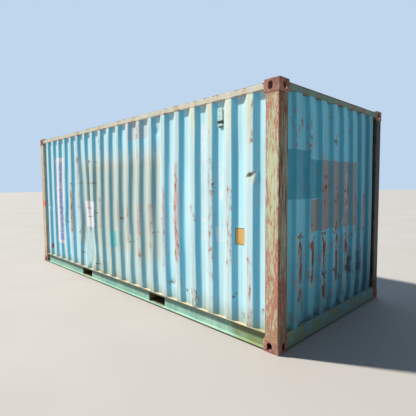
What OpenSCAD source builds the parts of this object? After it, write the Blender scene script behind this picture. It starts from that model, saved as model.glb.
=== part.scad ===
// A twenty-foot steel dry freight container, with its doors closed.
// The origin is on the ground under the middle of the container. +X points to
// the blind front end, -X to the doors, +Y to the left side and +Z up.

/* [Overall] */
// Length over the corner castings
length = 6058; // [4600:1:9125]
// Width over the corner castings
width = 2438; // [2300:1:2600]
// Height over the corner castings
height = 2591; // [2438:1:2896]
// How far posts, rails and sills stand back from the faces of the castings
face_recess = 4; // [2:0.5:6]
// Height of the frame's underside above the ground
frame_lift = 16; // [13:1:20]
// Running clearance of bores, boards and seals
fit = 0.3; // [0.2:0.1:0.6]

/* [Corner castings] */
// Length of a casting, along the container
casting_l = 178; // [170:1:200]
// Width of a casting, across the container
casting_w = 162; // [155:1:180]
// Height of a casting
casting_h = 118; // [112:1:130]
// Thickness of the plate with the twistlock slot
casting_plate_t = 28; // [24:1:34]
// Thickness of the other walls of a casting
casting_wall_t = 12; // [8:1:14]
// Radius of the upright edges of a casting
casting_edge_r = 8; // [3:1:12]
// Distance of the holes' centre lines from the end face
hole_inset_x = 102.5; // [98:0.5:106]
// Distance of the holes' centre lines from the side face
hole_inset_y = 89.5; // [86:0.5:94]
// Length of the twistlock slot
slot_l = 124; // [110:1:128]
// Width of the twistlock slot
slot_w = 63.5; // [56:0.5:66]
// Width of the holes in the sides of the top castings
side_hole_w = 51; // [45:0.5:60]
// Width of the holes in the ends of the castings and in the sides of the bottom ones
end_hole_w = 63.5; // [56:0.5:66]
// Height of the side and end holes
hole_h = 79.5; // [70:0.5:84]

/* [Corner posts] */
// Width of the side face of a front or rear post
post_side_w = 159; // [140:1:170]
// Width of the end face of a front post
front_post_end_w = 148; // [130:1:155]
// Width of the narrow end face of a rear post
rear_post_end_w = 46; // [40:1:60]
// Depth of the inward lips that the wall sheets are welded to
post_lip = 50; // [48:1:60]
// Thickness of the pressed steel of a post
post_t = 6; // [4:0.5:8]
// Length of the rolled channel that stiffens a rear post
jamb_l = 113; // [90:1:120]
// Thickness of that channel
jamb_t = 12; // [8:0.5:14]

/* [Rails and sills] */
// Height of a bottom side rail
bottom_rail_h = 162; // [150:1:180]
// Width of a bottom side rail's flanges
bottom_rail_w = 42.5; // [42:0.5:60]
// Thickness of a bottom side rail
bottom_rail_t = 4.5; // [3:0.5:6]
// Outside size of the square top rails and of the front header
top_rail_w = 60; // [56:1:70]
// Wall thickness of those square tubes
top_rail_t = 3; // [2:0.5:5]
// Drop from the tops of the castings to the tops of the top rails
roof_drop = 28; // [25:1:32]
// Width of the front sill's flanges
front_sill_w = 60; // [56:1:80]
// Depth of the door sill and the door header, along the container
door_frame_d = 90; // [70:1:92]
// Height of the door header
door_header_h = 112; // [100:1:140]
// Thickness of the front sill, the door sill and the door header
sill_t = 4; // [3:0.5:6]

/* [Wall sheets] */
// Thickness of the wall sheets
wall_t = 1.8; // [1.2:0.1:2.5]
// How far the outer flats stand back from the posts and rails
wall_setback = 2; // [1:0.5:4]
// Width of the outer flats of the side walls
side_crest = 72; // [60:1:90]
// Width of the inner flats of the side walls
side_valley = 71; // [60:1:90]
// Length of the slopes of the side walls, along the wall
side_slope = 69; // [50:1:80]
// Depth of the corrugation of the side walls
side_depth = 36; // [30:0.5:40]
// Width of the inner flat beside a front post
side_first_flat = 80; // [60:1:100]
// Width of the outer flats of the front wall
front_crest = 110; // [90:1:120]
// Width of the inner flats of the front wall
front_valley = 104; // [90:1:120]
// Length of the slopes of the front wall, along the wall
front_slope = 18; // [15:1:40]
// Depth of the corrugation of the front wall
front_depth = 45.6; // [36:0.1:46]

/* [Roof] */
// Thickness of the roof sheet
roof_t = 2; // [1.5:0.1:2.5]
// Width of the ribs of the roof at their top
roof_crest = 91; // [70:1:110]
// Width of the flats between the ribs
roof_valley = 78; // [60:1:100]
// Length of the slopes of the ribs, along the roof
roof_slope = 20; // [15:1:30]
// Height of the ribs
roof_rib_h = 20; // [15:0.5:21]
// Width of the flat border at the sides and ends of the ribs
roof_border = 85; // [70:1:120]
// Length of the sloping ends of the ribs
roof_rib_end = 40; // [25:1:60]
// Length of the flat plates over the front and door headers
header_plate_l = 370; // [320:1:450]
// Thickness of those plates
header_plate_t = 4; // [2:0.5:5]

/* [Floor frame] */
// Drop from the tops of the bottom rails to the floor
floor_drop = 8; // [4:1:12]
// Thickness of the plywood floor
floor_t = 28; // [24:1:30]
// Length of a full floor board
board_l = 2400; // [1500:1:3000]
// Width of the joints between floor boards
board_joint = 2; // [1:0.5:4]
// Height of a cross member
cross_h = 122; // [110:1:124]
// Width of a cross member's flanges
cross_w = 45; // [35:1:55]
// Thickness of a cross member
cross_t = 4; // [3:0.5:5]
// Widest spacing of the cross members
cross_max_pitch = 300; // [250:1:400]
// Distance between the middles of the two fork pockets
pocket_span = 2080; // [1800:1:2150]
// Clear width of a fork pocket
pocket_w = 360; // [300:1:400]
// Clear height of a fork pocket's mouth
pocket_h = 115; // [100:1:117]
// Thickness of the plate over a fork pocket
pocket_plate_t = 3; // [2:0.5:4]
// Depth of that plate's turned-down edges
pocket_plate_edge = 40; // [25:1:60]
// Width of the straps under the mouths of a fork pocket
strap_w = 200; // [150:1:300]
// Thickness of those straps
strap_t = 6; // [4:0.5:8]

/* [Doors] */
// Depth from the rear faces of the castings to the outer face of the doors
door_recess = 60; // [56:1:66]
// Thickness of a door
door_t = 50; // [44:1:54]
// Gap between a door and its frame, and half the gap between the doors
door_gap = 12; // [8:1:16]
// Width of the upright tubes of a door's frame
stile_w = 100; // [90:1:120]
// Height of the channels at the top and bottom of a door
door_rail_h = 150; // [120:1:180]
// Wall thickness of the tubes and channels of a door
door_frame_t = 3; // [2.5:0.5:4]
// Number of sunk bands across a door
door_bands = 5; // [3:1:7]
// Height of the bottom of a sunk band
door_band_h = 100; // [60:1:110]
// Depth of a sunk band, and the length of its slopes
door_band_d = 36; // [20:1:40]
// Depth of the rubber seals round a door
seal_d = 20; // [15:1:30]
// Number of hinges on a door
hinge_count = 4; // [3:1:5]
// Distance of the outer hinges from the top and bottom of a door
hinge_inset = 170; // [120:1:250]
// Radius of a hinge pin
pin_r = 8; // [6:0.5:10]
// Radius of a hinge knuckle
knuckle_r = 16; // [14:0.5:18]
// Height of a hinge knuckle and its leaf
knuckle_h = 60; // [40:1:90]
// Thickness of a hinge leaf
hinge_leaf_t = 8; // [5:0.5:10]
// Thickness of a hinge lug
lug_t = 14; // [10:1:20]

/* [Locking gear] */
// Outside diameter of a lock rod
rod_d = 34; // [28:1:36]
// Wall thickness of a lock rod
rod_t = 4; // [2.5:0.5:6]
// Distance of a lock rod's axis from the door's face
rod_standoff = 28; // [26:0.5:30]
// Distance of the inner lock rods from the meeting edges of the doors
rod_inner_inset = 253; // [210:1:310]
// Distance of the outer lock rods from the hinged edges of the doors
rod_outer_inset = 307; // [260:1:370]
// Distance of the cams from the lower edge of the header and the upper edge of the sill
cam_offset = 60; // [50:1:70]
// Length of a cam's arm from the rod's axis
cam_arm = 58; // [50:1:70]
// Thickness of a cam's arm
cam_t = 22; // [16:1:26]
// Width of a keeper
keeper_w = 30; // [20:1:40]
// Thickness of a keeper's walls
keeper_t = 8; // [6:0.5:10]
// Length of a handle from the rod's axis
handle_l = 420; // [350:1:450]
// Height of a handle's flat bar
handle_h = 34; // [25:1:40]
// Thickness of a handle's flat bar
handle_t = 12; // [8:0.5:14]
// Length of the retainer that holds a handle's end
retainer_l = 60; // [40:1:90]

/* [Ventilators] */
// Height of a ventilator
vent_h = 208; // [150:1:260]
// Depth of a ventilator's hood
vent_d = 15; // [10:1:25]
// Distance of a ventilator's top from the underside of the top rail
vent_drop = 65; // [40:1:120]
// Radius of a ventilator's corners
vent_corner_r = 10; // [4:1:16]
// Number of slots in a ventilator
vent_slots = 9; // [5:1:12]

/* [Hidden] */

// Colours
rusty_steel = [0.42, 0.24, 0.20];
pale_blue = [0.60, 0.76, 0.78];
mid_blue = [0.24, 0.47, 0.60];
pale_green = [0.62, 0.68, 0.55];
cream = [0.74, 0.66, 0.58];
dark_frame = [0.22, 0.20, 0.19];
plywood = [0.62, 0.46, 0.28];
black_rubber = [0.07, 0.07, 0.07];
zinc = [0.55, 0.56, 0.55];

// Smoothness of round parts, and the short steps in a bend of pressed steel
$fn = 48;
bend_steps = 4;
// Overshoot of a cut past the faces that it opens
cut = 1;

// Levels above the ground
bottom_rail_top = frame_lift + bottom_rail_h;
floor_top = bottom_rail_top - floor_drop;
floor_bottom = floor_top - floor_t;
cross_bottom = floor_bottom - cross_h;
roof_z = height - roof_drop;
top_rail_bottom = roof_z - top_rail_w;
door_header_bottom = roof_z - door_header_h;
door_bottom = floor_top + door_gap;
door_h = door_header_bottom - door_gap - door_bottom;

// Depths from an end face, and from a side face
post_depth = face_recess + post_side_w;
front_post_depth = face_recess + front_post_end_w;
jamb_depth = face_recess + rear_post_end_w;
rail_web_depth = face_recess + bottom_rail_w;
door_frame_depth = door_recess + door_frame_d;
front_frame_depth = face_recess + front_sill_w;

// Places on the doors
door_inner_y = door_gap;
door_outer_y = width / 2 - jamb_depth - door_gap;
door_w = door_outer_y - door_inner_y;
door_panel_bottom = door_bottom + door_rail_h;
door_panel_h = door_h - 2 * door_rail_h;
door_band_pitch = door_panel_h / door_bands;
rod_r = rod_d / 2;
rod_inner_y = door_inner_y + rod_inner_inset;
rod_outer_y = door_outer_y - rod_outer_inset;
rod_depth = door_recess - rod_standoff;
cam_low_z = floor_top - cam_offset;
cam_high_z = door_header_bottom + cam_offset;
pad_t = 6;
collar_r = rod_r + 7;
hub_r = rod_r + 9;
bracket_h = 40;
bracket_w = 90;
handle_depth = rod_depth - hub_r;
retainer_cover = 3.7;
pin_depth = door_recess - hinge_leaf_t - knuckle_r + 2;
pin_inset = jamb_depth + knuckle_r + 3;

// The wave of a corrugated sheet: where it starts, how many crests it has, and its form
side_span = length - 2 * post_depth;
side_pitch = side_crest + side_valley + 2 * side_slope;
side_wave = [side_first_flat, ceil((side_span - side_first_flat) / side_pitch),
    side_slope, side_crest, side_valley, side_depth];
front_span = width - 2 * front_post_depth;
front_pitch = front_crest + front_valley + 2 * front_slope;
front_count = floor((front_span + front_valley) / front_pitch - 0.5);
front_wave = [(front_span - front_count * front_pitch + front_valley) / 2, front_count,
    front_slope, front_crest, front_valley, front_depth];
door_wave = [(door_band_pitch - door_band_h) / 2 - door_band_d, door_bands,
    door_band_d, door_band_h, door_band_pitch - door_band_h - 2 * door_band_d, door_band_d];

// The ribs of the roof
roof_x0 = -length / 2 + door_recess + header_plate_l;
roof_x1 = length / 2 - face_recess - header_plate_l;
roof_pitch = roof_crest + roof_valley + 2 * roof_slope;
roof_count = floor((roof_x1 - roof_x0 - roof_border) / roof_pitch);
roof_half_w = width / 2 - face_recess - wall_setback;
rib_half_y = roof_half_w - roof_border;

// Left-hand normal of the step from a to b
function left_of(a, b) = let (d = (b - a) / norm(b - a)) [-d.y, d.x];

// How far point i of path p moves when the whole path moves one to its left
function shift_at(p, i) =
    let (n0 = left_of(p[max(i - 1, 0)], p[max(i, 1)]),
         n1 = left_of(p[min(i, len(p) - 2)], p[min(i + 1, len(p) - 1)]))
    (n0 + n1) / (1 + n0 * n1);

// Outline of a sheet of thickness t that lies along the left of path p
function sheet(p, t) = concat(p, [for (i = [len(p) - 1:-1:0]) p[i] + t * shift_at(p, i)]);

// The corner b between a and c, rounded to radius r
function bend(a, b, c, r) =
    let (d = (b - a) / norm(b - a),
         e = (c - b) / norm(c - b),
         turn = atan2(d.x * e.y - d.y * e.x, d * e),
         n = sign(turn) * [-d.y, d.x],
         centre = b - d * r * tan(abs(turn) / 2) + r * n)
    [for (k = [0:bend_steps])
        let (q = turn * k / bend_steps)
        centre - r * [n.x * cos(q) - n.y * sin(q), n.x * sin(q) + n.y * cos(q)]];

// Path p with all its inner corners rounded to radius r
function bent(p, r) =
    [p[0], for (i = [1:len(p) - 2]) each bend(p[i - 1], p[i], p[i + 1], r), p[len(p) - 1]];

// Outline of pressed steel of thickness t along the left of path p
function pressed(p, t) = sheet(bent(p, 2 * t), t);

// Outline of a rectangle with rounded corners, from the origin to [w, h]
function round_rect(w, h, r) =
    [for (c = [[w - r, r, -90], [w - r, h - r, 0], [r, h - r, 90], [r, r, 180]])
        for (k = [0:bend_steps])
            let (a = c[2] + 90 * k / bend_steps)
            [c[0] + r * cos(a), c[1] + r * sin(a)]];

// Depth of wave w at distance s: no depth on the crests, full depth on the valleys
function wave_depth(w, s) =
    let (pitch = 2 * w[2] + w[3] + w[4],
         k = floor((s - w[0]) / pitch),
         p = s - w[0] - k * pitch)
    s <= w[0] || k >= w[1] ? w[5]
    : p < w[2] ? w[5] * (1 - p / w[2])
    : p < w[2] + w[3] ? 0
    : p < 2 * w[2] + w[3] ? w[5] * (p - w[2] - w[3]) / w[2]
    : w[5];

// Path of wave w over a span, as points of distance and depth
function wave_path(w, span) =
    let (pitch = 2 * w[2] + w[3] + w[4])
    [[0, wave_depth(w, 0)],
        for (k = [0:w[1] - 1], s = [0, w[2], w[2] + w[3], 2 * w[2] + w[3]])
            let (at = w[0] + k * pitch + s)
            if (at > 1 && at < span - 1) [at, wave_depth(w, at)],
        [span, wave_depth(w, span)]];

// Frame of a corner: x inwards from the end face, y inwards from the side face
module at_corner(sx, sy) {
    translate([sx * length / 2, sy * width / 2, 0])
        mirror([sx > 0 ? 1 : 0, 0, 0])
            mirror([0, sy > 0 ? 1 : 0, 0])
                children();
}

// Frame of a casting: as above, with z inwards from its outer level face
module at_casting(sx, sy, top) {
    translate([0, 0, top ? height : 0])
        mirror([0, 0, top ? 1 : 0])
            at_corner(sx, sy)
                children();
}

// Carries an outline drawn in y and z along the container, from x0 to x1
module along_x(x0, x1) {
    translate([x0, 0, 0])
        rotate([90, 0, 90])
            linear_extrude(x1 - x0)
                children();
}

// Carries an outline drawn in x and z across the container, from y0 to y1
module along_y(y0, y1) {
    translate([0, y1, 0])
        rotate([90, 0, 0])
            linear_extrude(y1 - y0)
                children();
}

// Room that the eight castings take up, cut from what runs past them
module casting_blocks() {
    for (sx = [-1, 1], sy = [-1, 1], top = [false, true])
        at_casting(sx, sy, top)
            cube([casting_l, casting_w, casting_h]);
}

// Upright hole with round ends, middled on the origin
module oval(w, h) {
    translate([0, (h - w) / 2]) circle(d = w);
    translate([0, (w - h) / 2]) circle(d = w);
    square([w, h - w], center = true);
}

// Upright hole with a round top and a flat sill, middled on the origin
module arch(w, h) {
    translate([0, (h - w) / 2]) circle(d = w);
    translate([-w / 2, -h / 2]) square([w, h - w / 2]);
}

// Square or rectangular tube in section, from the origin to [w, h]
module tube_section(w, h, t) {
    difference() {
        polygon(round_rect(w, h, 2 * t));
        translate([t, t]) polygon(round_rect(w - 2 * t, h - 2 * t, t));
    }
}

// A hollow casting with its twistlock slot and its side and end holes
module corner_casting(sx, sy, top) {
    color(rusty_steel)
        at_casting(sx, sy, top)
            difference() {
                linear_extrude(casting_h)
                    polygon(round_rect(casting_l, casting_w, casting_edge_r));
                translate([casting_wall_t, casting_wall_t, casting_plate_t])
                    cube([casting_l - 2 * casting_wall_t, casting_w - 2 * casting_wall_t,
                        casting_h - casting_plate_t - casting_wall_t]);
                translate([hole_inset_x, hole_inset_y, -cut])
                    linear_extrude(casting_plate_t + 2 * cut)
                        rotate(90) oval(slot_w, slot_l);
                translate([hole_inset_x, casting_wall_t + cut, casting_h / 2])
                    rotate([90, 0, 0])
                        linear_extrude(casting_wall_t + 2 * cut)
                            if (top) oval(side_hole_w, hole_h);
                            else arch(end_hole_w, hole_h);
                translate([-cut, hole_inset_y, casting_h / 2])
                    rotate([90, 0, 90])
                        linear_extrude(casting_wall_t + 2 * cut)
                            oval(end_hole_w, hole_h);
            }
}

// Carries a plan outline up from the bottom castings to the top ones
module post_height() {
    translate([0, 0, casting_h])
        linear_extrude(height - 2 * casting_h)
            children();
}

// A front post, one pressed sheet with a lip at each wall
module corner_post_front(sy) {
    path = [
        [face_recess + post_lip, front_post_depth],
        [face_recess, front_post_depth],
        [face_recess, face_recess],
        [post_depth, face_recess],
        [post_depth, face_recess + post_lip]
    ];
    color(pale_green)
        at_corner(1, sy)
            post_height()
                polygon(pressed(path, post_t));
}

// A rear post, a pressed sheet closed by a rolled channel that is the door jamb
module corner_post_rear(sy) {
    path = [
        [face_recess, jamb_depth],
        [face_recess, face_recess],
        [post_depth, face_recess],
        [post_depth, face_recess + post_lip]
    ];
    inside = face_recess + post_t;
    jamb = [
        [inside + jamb_l, inside],
        [inside + jamb_l, jamb_depth],
        [inside, jamb_depth],
        [inside, inside]
    ];
    color(cream)
        at_corner(-1, sy)
            post_height() {
                polygon(pressed(path, post_t));
                polygon(sheet(jamb, jamb_t));
            }
}

// A top side rail, a square tube between the castings
module top_side_rail(sy) {
    color(cream)
        at_corner(-1, sy)
            along_x(casting_l, length - casting_l)
                translate([face_recess, top_rail_bottom])
                    tube_section(top_rail_w, top_rail_w, top_rail_t);
}

// A bottom side rail, a channel open outwards whose web is cut at the fork pockets
module bottom_side_rail(sy) {
    path = [
        [face_recess, frame_lift],
        [rail_web_depth, frame_lift],
        [rail_web_depth, bottom_rail_top],
        [face_recess, bottom_rail_top]
    ];
    color(pale_green)
        difference() {
            at_corner(-1, sy)
                along_x(post_depth, length - post_depth)
                    polygon(pressed(path, bottom_rail_t));
            casting_blocks();
            for (sx = [-1, 1])
                translate([sx * pocket_span / 2, 0, frame_lift + bottom_rail_t])
                    translate([-pocket_w / 2, -width, 0])
                        cube([pocket_w, 2 * width, pocket_h]);
        }
}

// The square tube over the front wall
module front_header() {
    color(mid_blue)
        at_corner(1, -1)
            along_y(casting_w, width - casting_w)
                translate([face_recess, top_rail_bottom])
                    tube_section(top_rail_w, top_rail_w, top_rail_t);
}

// Outline of a channel with its web at depth u and its flanges running inwards
function channel(u, z0, z1, w, t) = pressed([[u + w, z1], [u, z1], [u, z0], [u + w, z0]], t);

// The channel under the front wall, notched over the castings
module front_sill() {
    color(mid_blue)
        difference() {
            at_corner(1, -1)
                along_y(front_post_depth, width - front_post_depth)
                    polygon(channel(face_recess, frame_lift, bottom_rail_top,
                        front_sill_w, sill_t));
            casting_blocks();
        }
}

// The channel over the doors, notched under the castings
module door_header() {
    color(cream)
        difference() {
            at_corner(-1, -1)
                along_y(jamb_depth, width - jamb_depth)
                    polygon(channel(door_recess, door_header_bottom, roof_z,
                        door_frame_d, sill_t));
            casting_blocks();
        }
}

// The channel under the doors, notched over the castings
module door_sill() {
    color(cream)
        difference() {
            at_corner(-1, -1)
                along_y(jamb_depth, width - jamb_depth)
                    polygon(channel(door_recess, frame_lift, floor_top,
                        door_frame_d, sill_t));
            casting_blocks();
        }
}

// Carries the outline of a wall sheet from the bottom rail up to the top rail
module wall_height() {
    difference() {
        translate([0, 0, bottom_rail_top])
            linear_extrude(top_rail_bottom - bottom_rail_top)
                children();
        casting_blocks();
    }
}

// A side wall, one corrugated sheet counted from the front post
module side_wall(sy) {
    outer = face_recess + wall_setback;
    path = [for (p = wave_path(side_wave, side_span)) [post_depth + p.x, outer + p.y]];
    color(pale_blue)
        wall_height()
            translate([length / 2, sy * width / 2])
                mirror([1, 0])
                    mirror([0, sy > 0 ? 1 : 0])
                        polygon(sheet(path, wall_t));
}

// The front wall, one corrugated sheet with the same valley at both ends
module front_wall() {
    outer = face_recess + wall_setback;
    path = [for (p = wave_path(front_wave, front_span)) [outer + p.y, front_span / 2 - p.x]];
    color(mid_blue)
        wall_height()
            translate([length / 2, 0])
                mirror([1, 0])
                    polygon(sheet(path, wall_t));
}

// Outline of a rib of the roof: upright from z0 to z1, then sloping in to its crest
function rib_outline(foot, crest, z0, z1) = [
    [-foot / 2, z0],
    [foot / 2, z0],
    [foot / 2, z1],
    [crest / 2, z1 + roof_rib_h],
    [-crest / 2, z1 + roof_rib_h],
    [-foot / 2, z1]
];

// One rib, foot by half_y at its base, sloping in at all four sides above z1
module roof_rib(foot, half_y, z0, z1) {
    intersection() {
        along_y(-half_y, half_y)
            polygon(rib_outline(foot, foot - 2 * roof_slope, z0, z1));
        along_x(-foot, foot)
            polygon(rib_outline(2 * half_y, 2 * (half_y - roof_rib_end), z0, z1));
    }
}

// The roof sheet, with hollow ribs that slope down at all four sides
module roof_panel() {
    lean_x = roof_t * tan(atan2(roof_rib_h, roof_slope) / 2);
    lean_y = roof_t * tan(atan2(roof_rib_h, roof_rib_end) / 2);
    foot = roof_crest + 2 * roof_slope;
    start = (roof_x0 + roof_x1 - (roof_count - 1) * roof_pitch) / 2;
    base = roof_z + roof_t;
    color(pale_blue)
        difference() {
            union() {
                translate([roof_x0, -roof_half_w, roof_z])
                    cube([roof_x1 - roof_x0, 2 * roof_half_w, roof_t]);
                for (k = [0:roof_count - 1])
                    translate([start + k * roof_pitch, 0, 0])
                        roof_rib(foot, rib_half_y, base - roof_t / 2, base);
            }
            for (k = [0:roof_count - 1])
                translate([start + k * roof_pitch, 0, 0])
                    roof_rib(foot - 2 * lean_x, rib_half_y - lean_y, roof_z - cut, roof_z);
        }
}

// The flat plates over the two headers, cut round the castings
module roof_header_plates() {
    front_x = length / 2 - face_recess;
    rear_x = -length / 2 + door_recess;
    color(cream)
        difference() {
            for (x = [rear_x, front_x - header_plate_l])
                translate([x, -roof_half_w, roof_z])
                    cube([header_plate_l, 2 * roof_half_w, header_plate_t]);
            casting_blocks();
        }
}

// The plywood floor, in two rows of boards laid from the doors. The last board of a
// row takes what is left, which is at least a tenth of a full one
module floor_boards() {
    x0 = -length / 2 + door_frame_depth + fit;
    x1 = length / 2 - front_frame_depth - fit;
    half_y = width / 2 - rail_web_depth - fit;
    pitch = board_l + board_joint;
    full = floor((x1 - x0) / pitch - 0.1);
    color(plywood)
        for (k = [0:full], sy = [-1, 1])
            translate([x0 + k * pitch, 0, floor_bottom])
                mirror([0, sy > 0 ? 0 : 1, 0])
                    translate([0, board_joint / 2, 0])
                        cube([k < full ? board_l : x1 - x0 - full * pitch,
                            half_y - board_joint / 2, floor_t]);
}

// One cross member with its web at x and its flanges towards side sx
module cross_member(x, sx) {
    path = [
        [cross_w, floor_bottom],
        [0, floor_bottom],
        [0, cross_bottom],
        [cross_w, cross_bottom]
    ];
    half_y = width / 2 - rail_web_depth;
    translate([x, 0, 0])
        mirror([sx > 0 ? 0 : 1, 0, 0])
            along_y(-half_y, half_y)
                polygon(pressed(path, cross_t));
}

// Cross members spread evenly over one stretch of the floor frame
module cross_members(x0, x1) {
    count = floor((x1 - x0) / cross_max_pitch);
    pitch = (x1 - x0) / (count + 1);
    color(rusty_steel)
        for (k = [1:count])
            cross_member(x0 + k * pitch - cross_w / 2, 1);
}

// Outer edges of the fork pockets, with the members that flank them
pocket_near = pocket_span / 2 - pocket_w / 2 - cross_w;
pocket_far = pocket_span / 2 + pocket_w / 2 + cross_w;

// A fork pocket: two flanking members, a pressed plate over it and a strap under each mouth
module fork_pocket(sx) {
    half_y = width / 2 - rail_web_depth;
    edge_z = floor_bottom - pocket_plate_edge;
    path = [
        [pocket_w / 2, edge_z],
        [pocket_w / 2, floor_bottom],
        [-pocket_w / 2, floor_bottom],
        [-pocket_w / 2, edge_z]
    ];
    color(rusty_steel)
        translate([sx * pocket_span / 2, 0, 0]) {
            for (side = [-1, 1])
                cross_member(side * pocket_w / 2, side);
            along_y(-half_y, half_y)
                polygon(pressed(path, pocket_plate_t));
            for (y = [-half_y, half_y - strap_w])
                translate([-pocket_w / 2 - cross_w, y, cross_bottom - strap_t])
                    cube([pocket_w + 2 * cross_w, strap_w, strap_t]);
        }
}

// Frame of the doors: x inwards from the rear faces, y outwards from the middle
module at_doors(sy) {
    translate([-length / 2, 0, 0])
        mirror([0, sy > 0 ? 0 : 1, 0])
            children();
}

// A door: two upright tubes, two channels and a sheet with sunk bands
module door(sy) {
    sheet_y0 = door_inner_y + stile_w;
    sheet_y1 = door_outer_y - stile_w;
    panel_top = door_panel_bottom + door_panel_h;
    path = [for (p = wave_path(door_wave, door_panel_h))
        [door_recess + door_band_d - p.y, panel_top - p.x]];
    color(pale_blue)
        at_doors(sy) {
            for (y = [door_inner_y, sheet_y1])
                translate([door_recess, y, door_bottom])
                    linear_extrude(door_h)
                        tube_section(door_t, stile_w, door_frame_t);
            for (z = [door_bottom, panel_top])
                along_y(sheet_y0, sheet_y1)
                    polygon(channel(door_recess, z, z + door_rail_h, door_t, door_frame_t));
            along_y(sheet_y0, sheet_y1)
                polygon(sheet(path, wall_t));
        }
}

// The rubber seals round the edges of the two doors
module door_seals() {
    lip = door_gap - fit;
    depth = (door_t - seal_d) / 2;
    color(black_rubber)
        for (sy = [-1, 1])
            at_doors(sy)
                translate([door_recess + depth, 0, 0])
                    difference() {
                        translate([0, door_inner_y - lip, door_bottom - lip])
                            cube([seal_d, door_w + 2 * lip, door_h + 2 * lip]);
                        translate([-cut, door_inner_y, door_bottom])
                            cube([seal_d + 2 * cut, door_w, door_h]);
                    }
}

// One hinge: two lugs with the pin, and a leaf with the knuckle
module hinge(z) {
    lug_y = width / 2 - jamb_depth;
    pin_y = width / 2 - pin_inset;
    leaf_end = door_outer_y - stile_w;
    translate([0, 0, z]) {
        for (up = [-1, 1])
            translate([0, 0, up * (knuckle_h / 2 + fit + lug_t / 2) - lug_t / 2]) {
                translate([pin_depth, pin_y, 0])
                    cylinder(h = lug_t, r = knuckle_r);
                translate([pin_depth - knuckle_r, pin_y, 0])
                    cube([2 * knuckle_r, lug_y - pin_y, lug_t]);
            }
        translate([pin_depth, pin_y, -knuckle_h / 2 - fit - lug_t])
            cylinder(h = knuckle_h + 2 * (fit + lug_t), r = pin_r);
        difference() {
            union() {
                translate([pin_depth, pin_y, -knuckle_h / 2])
                    cylinder(h = knuckle_h, r = knuckle_r);
                translate([door_recess - hinge_leaf_t, leaf_end, -knuckle_h / 2])
                    cube([hinge_leaf_t, pin_y - leaf_end, knuckle_h]);
            }
            translate([pin_depth, pin_y, -knuckle_h / 2 - cut])
                cylinder(h = knuckle_h + 2 * cut, r = pin_r + fit);
        }
    }
}

// The hinges of one door, spread evenly
module door_hinges(sy) {
    color(zinc)
        at_doors(sy)
            for (k = [0:hinge_count - 1])
                hinge(door_bottom + hinge_inset
                    + k * (door_h - 2 * hinge_inset) / (hinge_count - 1));
}

// A lock rod, a tube with a cam at each end whose arm points away from the middle
module lock_rod(sy, y) {
    color(zinc)
        at_doors(sy)
            translate([rod_depth, y, 0]) {
                difference() {
                    translate([0, 0, cam_low_z])
                        cylinder(h = cam_high_z - cam_low_z, r = rod_r);
                    translate([0, 0, cam_low_z - cut])
                        cylinder(h = cam_high_z - cam_low_z + 2 * cut, r = rod_r - rod_t);
                }
                for (z = [cam_low_z, cam_high_z])
                    translate([0, 0, z - cam_t / 2]) {
                        cylinder(h = cam_t, r = collar_r);
                        translate([-cam_t / 2, 0, 0])
                            cube([cam_t, cam_arm, cam_t]);
                    }
            }
}

// The places of the four lock rods, as side, distance from the middle and handle's band
RODS = [[-1, rod_outer_y, -1], [-1, rod_inner_y, 1], [1, rod_inner_y, 1], [1, rod_outer_y, -1]];

// Height of the flat above the sunk band numbered k from the bottom
function flat_z(k) = door_panel_bottom + k * door_band_pitch;

// Flats that carry the handles of the inner and outer rods
inner_flat = floor(door_bands / 2);
function handle_z(way) = flat_z(way > 0 ? inner_flat : inner_flat + 1);

// The brackets that hold the lock rods to the doors, two of them on the channels
module lock_rod_brackets() {
    heights = [door_bottom + door_rail_h / 2, flat_z(1), flat_z(door_bands - 1),
        door_bottom + door_h - door_rail_h / 2];
    color(zinc)
        for (rod = RODS, z = heights)
            at_doors(rod[0])
                translate([0, rod[1], z])
                    difference() {
                        union() {
                            translate([door_recess - pad_t, -bracket_w / 2, -bracket_h / 2])
                                cube([pad_t, bracket_w, bracket_h]);
                            translate([rod_depth, 0, -bracket_h / 2])
                                cylinder(h = bracket_h, r = collar_r);
                            translate([rod_depth, -rod_r, -bracket_h / 2])
                                cube([rod_standoff - cut, rod_d, bracket_h]);
                        }
                        translate([rod_depth, 0, -bracket_h])
                            cylinder(h = 2 * bracket_h, r = rod_r + fit);
                    }
}

// The keepers on the sill and the header, each a ring round the arm of a cam
module lock_keepers() {
    front = rod_depth - cam_t / 2 - 2 - keeper_t;
    mouth = cam_t + 2 * fit;
    color(zinc)
        for (rod = RODS, z = [cam_low_z, cam_high_z])
            at_doors(rod[0])
                translate([0, rod[1] + cam_arm - keeper_w, z])
                    difference() {
                        translate([front, 0, -mouth / 2 - keeper_t])
                            cube([door_recess - front, keeper_w, mouth + 2 * keeper_t]);
                        translate([front + keeper_t, -cut, -mouth / 2])
                            cube([door_recess - front - 2 * keeper_t, keeper_w + 2 * cut, mouth]);
                    }
}

// The four handles: a hub round the rod and a flat bar towards the other rod
module door_handles() {
    color(zinc)
        for (rod = RODS)
            at_doors(rod[0])
                translate([0, rod[1], handle_z(rod[2])])
                    mirror([0, rod[2] > 0 ? 0 : 1, 0])
                        difference() {
                            union() {
                                translate([rod_depth, 0, -bracket_h / 2])
                                    cylinder(h = bracket_h, r = hub_r);
                                translate([handle_depth, 0, -handle_h / 2])
                                    cube([handle_t, handle_l, handle_h]);
                            }
                            translate([rod_depth, 0, -bracket_h])
                                cylinder(h = 2 * bracket_h, r = rod_r + fit);
                        }
}

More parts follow.
